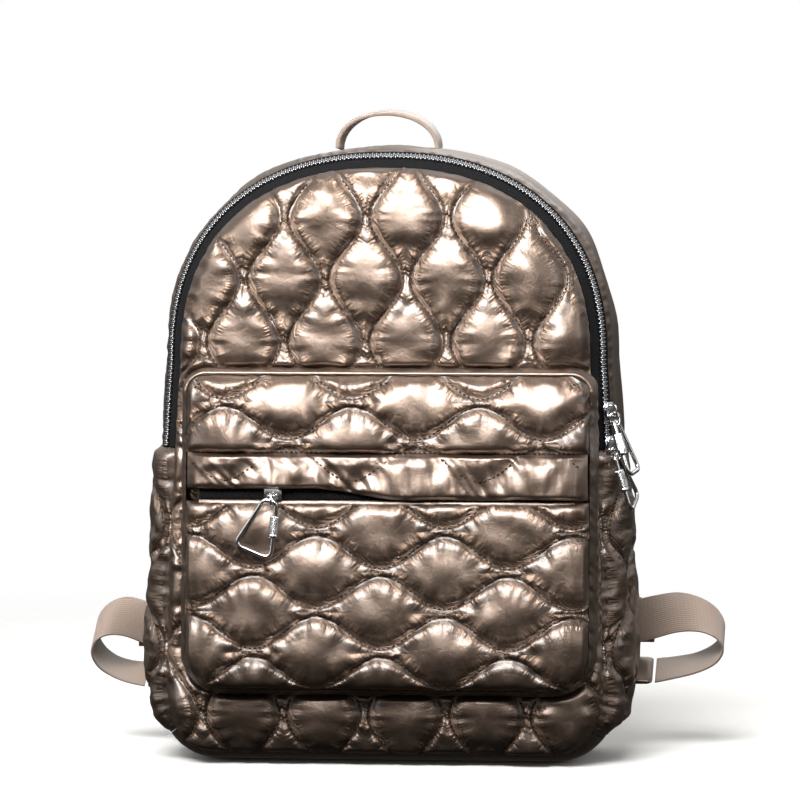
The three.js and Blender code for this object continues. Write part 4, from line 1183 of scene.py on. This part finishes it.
def makeSleeve(name):
    # Knurled nut: bore, chamfer, crossed knurls, a plain collar at its lower end
    bore, outer = screwLink["wire"] / 2 + 0.1, screwLink["sleeveRadius"]
    half = screwLink["sleeveLength"] / 2
    heights = np.concatenate([[-half, -half], np.linspace(-half + 0.5, -half + 2.4, 3),
                              np.linspace(-half + 2.8, half - 0.6, 34), [half, half]])
    radii = np.concatenate([[bore, outer - 0.5], [outer] * 3, [outer] * 34, [outer - 0.5, bore]])
    radii[5] -= 0.5
    around = 132
    bm, u, v = flatGrid(around, len(heights) - 1)
    row = np.round(v * (len(heights) - 1)).astype(int)
    angle = 2 * math.pi * u
    z, radius = heights[row], radii[row]
    isKnurled = (row > 5) & (row < len(heights) - 2)
    twist = screwLink["knurls"] / 2 * angle
    crossing = np.abs(np.sin(twist + z * 1.9)) * np.abs(np.sin(twist - z * 1.9))
    radius = radius - np.where(isKnurled, 0.42 * (1 - crossing) - 0.1, 0)
    placePoints(bm, np.stack([radius * np.cos(angle), radius * np.sin(angle), z], axis=-1),
                np.stack([angle, z], axis=-1))
    bmesh.ops.remove_doubles(bm, verts=bm.verts, dist=1e-6)
    bmesh.ops.recalc_face_normals(bm, faces=bm.faces)
    piece = newPiece(name, bm)
    (topX, topZ, _), (lowX, lowZ, _) = screwCorners[-1], screwCorners[0]
    lean = math.atan2(topX - lowX, topZ - lowZ)
    middle = Matrix.Translation(((topX + lowX) / 2, 0, (topZ + lowZ) / 2))
    return turned(piece, middle @ Matrix.Rotation(lean, 4, "Y"))


ringHang = ringLink["length"] / 2 - ringLink["wire"] - slider["bailWire"] / 2 - ringLink["slack"]
screwHang = ringLink["length"] - 2 * ringLink["wire"] - slider["bailWire"] / 2
screwHang -= 2 * ringLink["slack"] + screwLink["wire"] / 2


def addPull(name, sliderFrame, hang, facing, lean, heading, swing, tilt):
    turns = (facing, lean, heading, swing, tilt)
    facing, lean, heading, swing, tilt = (math.radians(angle) for angle in turns)
    atHang = Matrix.Translation(hang)
    ringTurn = Matrix.Rotation(facing, 4, "Z") @ Matrix.Rotation(-lean, 4, "X")
    toScrew = Matrix.Translation(ringTurn @ Vector((0, 0, -screwHang)))
    screwMove = atHang @ toScrew @ Matrix.Rotation(heading, 4, "Z")
    screwMove = screwMove @ Matrix.Rotation(tilt, 4, "X") @ Matrix.Rotation(swing, 4, "Y")
    made = [
        (turned(makeSlider(name + "_slider_plated"), sliderFrame), "_slider"),
        (turned(makeRing(name + "_link_ring"), atHang @ ringTurn @ Matrix.Translation((0, 0, -ringHang))),
         "_link"),
        (turned(wire(name + "_screw_link_wire", roundedRoute(screwCorners), screwLink["wire"] / 2, sides=6),
                screwMove), "_screw_link"),
        (turned(makeSleeve(name + "_sleeve_knurled"), screwMove), "_sleeve"),
    ]
    for piece, node in made:
        finishPiece(piece, nickel, "hardware", name + node)


sliderX, sliderZ = -69.0, pocketCoil["middle"]
sliderY = float(pocketBase(np.array([sliderX]), np.array([sliderZ]))[0]) - 0.9
addPull("pocket", Matrix.Translation((sliderX, sliderY, sliderZ)),
        Vector((sliderX, sliderY - slider["thick"] - slider["reach"] + slider["bailWire"] / 2, sliderZ)), 0,
        32, 0, 0, 0)


def addMainPull(name, height, *pose):
    length = rimLengthAt(height)
    middle = (zipDepth["teethFrom"] + zipDepth["teethTo"]) / 2

    def at(run, lift):
        return Vector(gussetPoint(np.array([run]), np.array([middle]), np.array([lift]))[0])
    seat = at(length, 1.7)
    out = (at(length, 2.7) - seat).normalized()
    up = (at(length + 2, 1.7) - at(length - 2, 1.7)).normalized()
    place = Matrix((up, -out, out.cross(up))).transposed().to_4x4()
    place.translation = seat
    footDown = (slider["length"] * slider["share"] - slider["bailWire"]) / 2
    hang = seat + out * (slider["thick"] + slider["reach"] / 2) - up * footDown
    addPull("main_" + name, place, hang, *pose)


addMainPull("lower", 208, -62, 0, -104, 0, 16)
addMainPull("upper", 230, -62, -12, -104, -16, 20)
print("pulls done")


# Webbing and straps

def splineThrough(points, count):
    # Even steps along a smooth curve through the points
    ends = np.concatenate([[2 * points[0] - points[1]], points, [2 * points[-1] - points[-2]]])
    fine = []
    for place in range(1, len(ends) - 2):
        a, b, c, d = ends[place - 1:place + 3]
        for share in np.linspace(0, 1, 16, endpoint=False):
            fine.append(0.5 * (2 * b + (c - a) * share + (2 * a - 5 * b + 4 * c - d) * share ** 2
                               + (3 * b - a - 3 * c + d) * share ** 3))
    fine.append(points[-1])
    fine = np.array(fine)
    run = np.concatenate([[0], np.cumsum(np.linalg.norm(np.diff(fine[:, :3], axis=0), axis=1))])
    spots = np.linspace(0, run[-1], count)
    return np.stack([np.interp(spots, run, fine[:, axis]) for axis in range(fine.shape[1])], axis=-1), spots


def webbingBand(name, middles, widths, thick, count):
    # middles and widths give the middle line and the full width as a vector at each place
    line, run = splineThrough(np.concatenate([middles, widths], axis=1), count + 1)
    bm, u, v = flatGrid(count, 12)
    step = np.round(u * count).astype(int)
    centre, width = line[step, :3], line[step, 3:]
    points = centre + width * (v - 0.5)[:, None]
    placePoints(bm, points, np.stack([run[step], (v - 0.5) * 30], axis=-1))
    piece = newPiece(name, bm)
    addWall(piece, thick, 0)
    edge = piece.modifiers.new("edge", "BEVEL")
    edge.width = 0.28 * thick * mm
    edge.segments = 2
    edge.limit_method = "ANGLE"
    return piece


handle = {"shift": -5.5, "span": 66, "rise": 24.4, "y": 34, "thick": 2.8, "width": 30}
handleBase = float(np.interp(handle["span"] / 2, domeHalf * cosines[::-1] ** power,
                             (body["domeStart"]
                              + (body["height"] - body["domeStart"]) * sines ** power)[::-1]))
angles = np.linspace(0, math.pi, 25)
arch = np.stack([handle["shift"] - handle["span"] / 2 * np.cos(angles), handle["y"] + 0 * angles,
                 handleBase + 0.3 + handle["rise"] * np.sin(angles) ** 0.9], axis=-1)
swayed = np.stack([0.5 * np.sin(angles * 2), handle["width"] + 0 * angles, 2.2 * np.sin(angles - 0.7)],
                  axis=-1)
grip = webbingBand("grab_handle_webbing", arch, swayed, handle["thick"], 90)
finishPiece(grip, webbing, "webbing", "grab_handle")

strap = {"width": 58, "endWidth": 31, "thick": 9, "endThick": 3, "topOut": 40, "top": 370, "standOff": 20}
adjuster = {"y": 66, "wire": 3, "deep": 20, "tall": 37.4}
# Where each adjuster stands, and how far its loop reaches past it
strapLie = {"right": {"x": 157.5, "z": 83, "reach": 59}, "left": {"x": 167, "z": 77, "reach": 39}}
tabOut = 171.1
strapPlaces = [
    (0, 0, 0),
    (0.02, 0.14, 0.4),
    (0.12, 0.4, 0.95),
    (0.3, 0.67, 1),
    (0.55, 0.88, 0.75),
    (0.82, 0.985, 0.6),
    (1, 1, 0.6),
]  # out, drop and stand-off, as shares of the strap's own sizes
farWire = adjuster["y"] + adjuster["deep"] / 2 - adjuster["wire"] / 2
nearWire = adjuster["y"] - adjuster["deep"] / 2 + adjuster["wire"] / 2
clear = adjuster["wire"] / 2 + 0.3 + 0.65
strapWebbing = {"width": 29, "thick": 1.3}
cornerTab = {"wide": 16, "deep": 4.6, "tall": 30, "inward": 9.8}
openSize = {"forward": 22, "drop": 32}
openLoop = [
    (0.19, 0.27, -0.09, 10),
    (0.48, 0.59, -0.22, 30),
    (0.74, 0.91, -0.19, 45),
    (0.93, 1, 0, 55),
    (1, 0.86, 0.31, 62),
    (0.905, 0.59, 0.625, 66),
    (0.69, 0.41, 0.84, 68),
    (0.43, 0.41, 0.95, 66),
    (0, 0.545, 1, 63),
]  # out, forward and drop as shares of the reach and openSize, and the lean in degrees


def paddedStrap(name, sign, lie):
    line = []
    for place, (out, drop, off) in enumerate(strapPlaces):
        isEnd = place >= len(strapPlaces) - 2
        y = farWire if isEnd else body["backFace"] + 0.3 + strap["thick"] / 2 + strap["standOff"] * off
        line.append([sign * (strap["topOut"] + (lie["x"] - 13 - strap["topOut"]) * out), y,
                     strap["top"] - (strap["top"] - lie["z"]) * drop])
    count, around = 160, 40
    middle, run = splineThrough(np.array(line), count + 1)
    share = np.linspace(0, 1, count + 1)
    along = np.gradient(middle, axis=0)
    width = np.cross(along, [0, 1, 0])
    width /= np.linalg.norm(width, axis=1, keepdims=True)
    out = np.cross(width, along)
    out /= np.linalg.norm(out, axis=1, keepdims=True)
    thin = smooth((share - 0.8) / 0.17)
    half = strap["width"] / 2 + (strap["endWidth"] - strap["width"]) / 2 * smooth((share - 0.55) / 0.4)
    deep = strap["thick"] / 2 + (strap["endThick"] - strap["thick"]) / 2 * thin
    bm, u, v = flatGrid(count, around)
    step = np.round(u * count).astype(int)
    angle = 2 * math.pi * np.round(v * around) / around
    w = np.sign(np.cos(angle)) * np.abs(np.cos(angle)) ** 0.6
    t = np.sign(np.sin(angle)) * np.abs(np.sin(angle)) ** 0.75
    isHem = smooth((np.abs(w) - 0.78) / 0.07) * (1 - smooth((np.abs(w) - 0.92) / 0.07))
    crimp = ripple(run[step] / 4.2, w * 3, 3.3 + sign) * 1.1 * smooth((np.abs(w) - 0.45) / 0.4)
    dent = ripple(run[step] / 24, w * 2, 8.3 + sign) * 1.8
    t = t * (1 - 0.3 * isHem * (1 - thin[step]))
    rise = deep[step] + (dent + crimp) * 0.6 * (1 - thin[step])
    points = middle[step] + width[step] * (w * half[step])[:, None] + out[step] * (t * rise)[:, None]
    placePoints(bm, points, np.stack([run[step], w * half[step]], axis=-1))
    bmesh.ops.remove_doubles(bm, verts=bm.verts, dist=1e-6)
    bmesh.ops.holes_fill(bm, edges=[edge for edge in bm.edges if edge.is_boundary], sides=0)
    bmesh.ops.recalc_face_normals(bm, faces=bm.faces)
    piece = newPiece(name, bm)
    addSmoothing(piece)
    beads = bmesh.new()
    for edge in (-0.85, 0.85):
        for face in (-1, 1):
            row = middle + width * (edge * half)[:, None] + out * (face * deep * 0.62)[:, None]
            addStitches(beads, row[3:132], (out * face)[3:132], pitch=3.6, length=2.6)
    return piece, newPiece(name + "_thread", beads)


def adjusterWire(name, sign, lie):
    x, radius = sign * lie["x"], 2.4
    tall = (adjuster["tall"] - adjuster["wire"]) / 2
    corners = []
    for centreY, centreZ, start in ((farWire - radius, lie["z"] + tall - radius, 0),
                                    (nearWire + radius, lie["z"] + tall - radius, 90),
                                    (nearWire + radius, lie["z"] - tall + radius, 180),
                                    (farWire - radius, lie["z"] - tall + radius, 270)):
        for angle in np.radians(np.linspace(start, start + 90, 7)):
            corners.append((x, centreY + radius * math.cos(angle), centreZ + radius * math.sin(angle)))
    frameWire = wire(name + "_frame", corners, adjuster["wire"] / 2, closed=True)
    bar = wire(name + "_bar", [(x, adjuster["y"], lie["z"] - tall), (x, adjuster["y"], lie["z"] + tall)],
               1.35)
    return joinedPiece(name, [frameWire, bar])


for sideName, sign in (("right", 1), ("left", -1)):
    flip, lie = np.array([sign, 1, 1]), strapLie[sideName]
    pad, padThread = paddedStrap(f"shoulder_strap_pad_{sideName}", sign, lie)
    finishPiece(pad, nylon, "quilted_nylon", f"shoulder_strap_{sideName}")
    finishPiece(padThread, thread, "quilted_nylon")
    finishPiece(adjusterWire(f"adjuster_wire_{sideName}", sign, lie), nickel, "hardware",
                f"adjuster_{sideName}")

    around = np.linspace(0, math.pi, 9)
    tail = lie["x"] - 26
    hook = np.concatenate([
        [[tail, farWire - clear, lie["z"]], [tail + 12, farWire - clear, lie["z"]]],
        np.stack([lie["x"] + clear * np.sin(around), farWire - clear * np.cos(around),
                  lie["z"] + 0 * around], axis=-1),
        [[tail + 12, farWire + clear, lie["z"]], [tail, farWire + clear, lie["z"]]],
    ]) * flip
    hookLoop = webbingBand(f"adjuster_loop_webbing_{sideName}", hook,
                           np.tile([0, 0, strap["endWidth"] - 1], (len(hook), 1)),
                           strapWebbing["thick"], 70)
    finishPiece(hookLoop, webbing, "webbing", f"adjuster_loop_{sideName}")

    places = [(lie["x"] + 12, adjuster["y"] + clear, lie["z"], 0)]
    places += [(lie["x"] - clear * math.sin(angle), adjuster["y"] + clear * math.cos(angle), lie["z"],
                0) for angle in around]
    places += [((tabOut if drop == 1 else lie["x"]) + lie["reach"] * out,
                adjuster["y"] - openSize["forward"] * ahead, lie["z"] - openSize["drop"] * drop, lean)
               for out, ahead, drop, lean in openLoop]
    places = np.array(places)
    leans = np.radians(places[:, 3])
    widths = np.stack([0 * leans, -np.sin(leans), -np.cos(leans)], axis=-1) * strapWebbing["width"]
    loop = webbingBand(f"strap_webbing_band_{sideName}", places[:, :3] * flip, widths * flip,
                       strapWebbing["thick"], 150)
    finishPiece(loop, webbing, "webbing", f"strap_webbing_{sideName}")

    # Corner tab: a folded scrap of the body's cloth, sewn over the webbing's end
    x, y, z, lean = places[-1]
    lean = math.radians(lean)
    bm = bmesh.new()
    bmesh.ops.create_cube(bm, size=1)
    bmesh.ops.subdivide_edges(bm, edges=bm.edges[:], cuts=7, use_grid_fill=True)
    for vert in bm.verts:
        across, deep, tall = vert.co.x, vert.co.y, vert.co.z
        pinch = 1 - 0.75 * (abs(across) * 2) ** 6 * (across > 0) - 0.4 * (abs(tall) * 2) ** 6
        crimp = noise.noise(Vector((across * 3, tall * 9, sign))) * 0.7
        deepMm = deep * (cornerTab["deep"] + crimp) * pinch
        tallMm = tall * cornerTab["tall"]
        vert.co = Vector((sign * (x - cornerTab["inward"] + across * cornerTab["wide"]),
                          y - math.sin(lean) * tallMm + math.cos(lean) * deepMm,
                          z - math.cos(lean) * tallMm - math.sin(lean) * deepMm)) * mm
    bmesh.ops.recalc_face_normals(bm, faces=bm.faces)
    tab = newPiece(f"corner_tab_cloth_{sideName}", bm)
    addSmoothing(tab)
    finishPiece(tab, nylon, "quilted_nylon", f"corner_tab_{sideName}")
print("webbing and straps done")

# Floor, light and camera
studio = {
    "azimuth": 5.5,
    "elevation": 3,
    "distance": 3.5,
    "aim": (9.2, -45, 236),
    "frameWide": 520,        # mm across the picture at the aim
    "floor": "#e9e8e6",
    "floorRadius": 1.3,
}
aim = Vector(studio["aim"]) * mm
azimuth, elevation = math.radians(studio["azimuth"]), math.radians(studio["elevation"])
toCamera = Vector((math.sin(azimuth) * math.cos(elevation), -math.cos(azimuth) * math.cos(elevation),
                   math.sin(elevation)))
lens = bpy.data.cameras.new("camera")
lens.sensor_width = 36
lens.lens = 36 * studio["distance"] / (studio["frameWide"] * mm)
camera = bpy.data.objects.new("camera", lens)
camera.location = aim + toCamera * studio["distance"]
camera.rotation_euler = (-toCamera).to_track_quat("-Z", "Y").to_euler()
scene.collection.objects.link(camera)
scene.camera = camera


def softbox(name, place, target, wide, tall, power, spread=180):
    light = bpy.data.lights.new(name, "AREA")
    light.shape = "RECTANGLE"
    light.size = wide
    light.size_y = tall
    light.energy = power
    light.spread = math.radians(spread)
    lamp = bpy.data.objects.new(name, light)
    lamp.location = place
    lamp.rotation_euler = (Vector(target) - Vector(place)).to_track_quat("-Z", "Y").to_euler()
    scene.collection.objects.link(lamp)


softbox("key_softbox", (-0.2, -0.85, 1.05), (0, 0, 0.43), 1.2, 0.7, 9.5, 62)
softbox("fill_left", (-1.6, -0.9, 0.6), (0, 0, 0.2), 0.5, 1.0, 3)
softbox("fill_right", (1.6, -0.7, 0.7), (0, 0, 0.2), 0.5, 1.0, 3)
softbox("top_softbox", (0, 0.5, 1.7), (0, 0, 0.2), 1.2, 0.8, 2)
softbox("back_softbox", (0.2, 1.5, 1.2), (0, 0, 0.2), 1.2, 0.8, 4)

bm = bmesh.new()
bmesh.ops.create_circle(bm, cap_ends=True, segments=96, radius=studio["floorRadius"])
bmesh.ops.translate(bm, verts=bm.verts, vec=(0, 0, -0.0008))
floor = newPiece("floor", bm)
# Pale paper that fades into the white surround
paper, tree, shader = newMaterial("matt_white_studio_paper")
place = addNode(tree, "TexCoord")
radial = addNode(tree, "VectorMath", links={0: place.outputs["Object"]}, operation="LENGTH")
fade = addNode(tree, "MapRange", {"From Min": 0.35, "From Max": studio["floorRadius"] - 0.02, "To Min": 1,
                                  "To Max": 0},
               {"Value": radial.outputs["Value"]})
shader.inputs["Base Color"].default_value = colour(studio["floor"])
shader.inputs["Roughness"].default_value = 0.9
tree.links.new(fade.outputs["Result"], shader.inputs["Alpha"])
floor.data.materials.append(paper)
floor.visible_glossy = False
floor.visible_diffuse = False

world = bpy.data.worlds.new("white_surround")
world.use_nodes = True
tree = world.node_tree
tree.nodes.clear()
ray = addNode(tree, "LightPath")
seen = addNode(tree, "Background", {"Color": (1, 1, 1, 1), "Strength": 1.0})
around = addNode(tree, "SeparateXYZ", links={0: addNode(tree, "TexCoord").outputs["Generated"]})
upward = addNode(tree, "MapRange", {"From Min": -1, "From Max": 1}, {"Value": around.outputs["Z"]})
room = rampOf(tree, upward.outputs["Result"], [  # dark below, bright from the front's height upward
    (0, (0.012, 0.011, 0.01, 1)),
    (0.45, (0.065, 0.06, 0.054, 1)),
    (0.53, (0.1, 0.094, 0.088, 1)),
    (0.65, (0.6, 0.59, 0.57, 1)),
    (0.82, (0.6, 0.6, 0.59, 1)),
    (1, (0.3, 0.3, 0.3, 1)),
])
felt = addNode(tree, "Background", {"Strength": 1}, {"Color": room.outputs["Color"]})
mixed = addNode(tree, "MixShader", links={0: ray.outputs["Is Camera Ray"], 1: felt.outputs[0],
                                          2: seen.outputs[0]})
addNode(tree, "OutputWorld", links={"Surface": mixed.outputs[0]})
scene.world = world
scene.view_settings.view_transform = "Standard"
print("studio done")
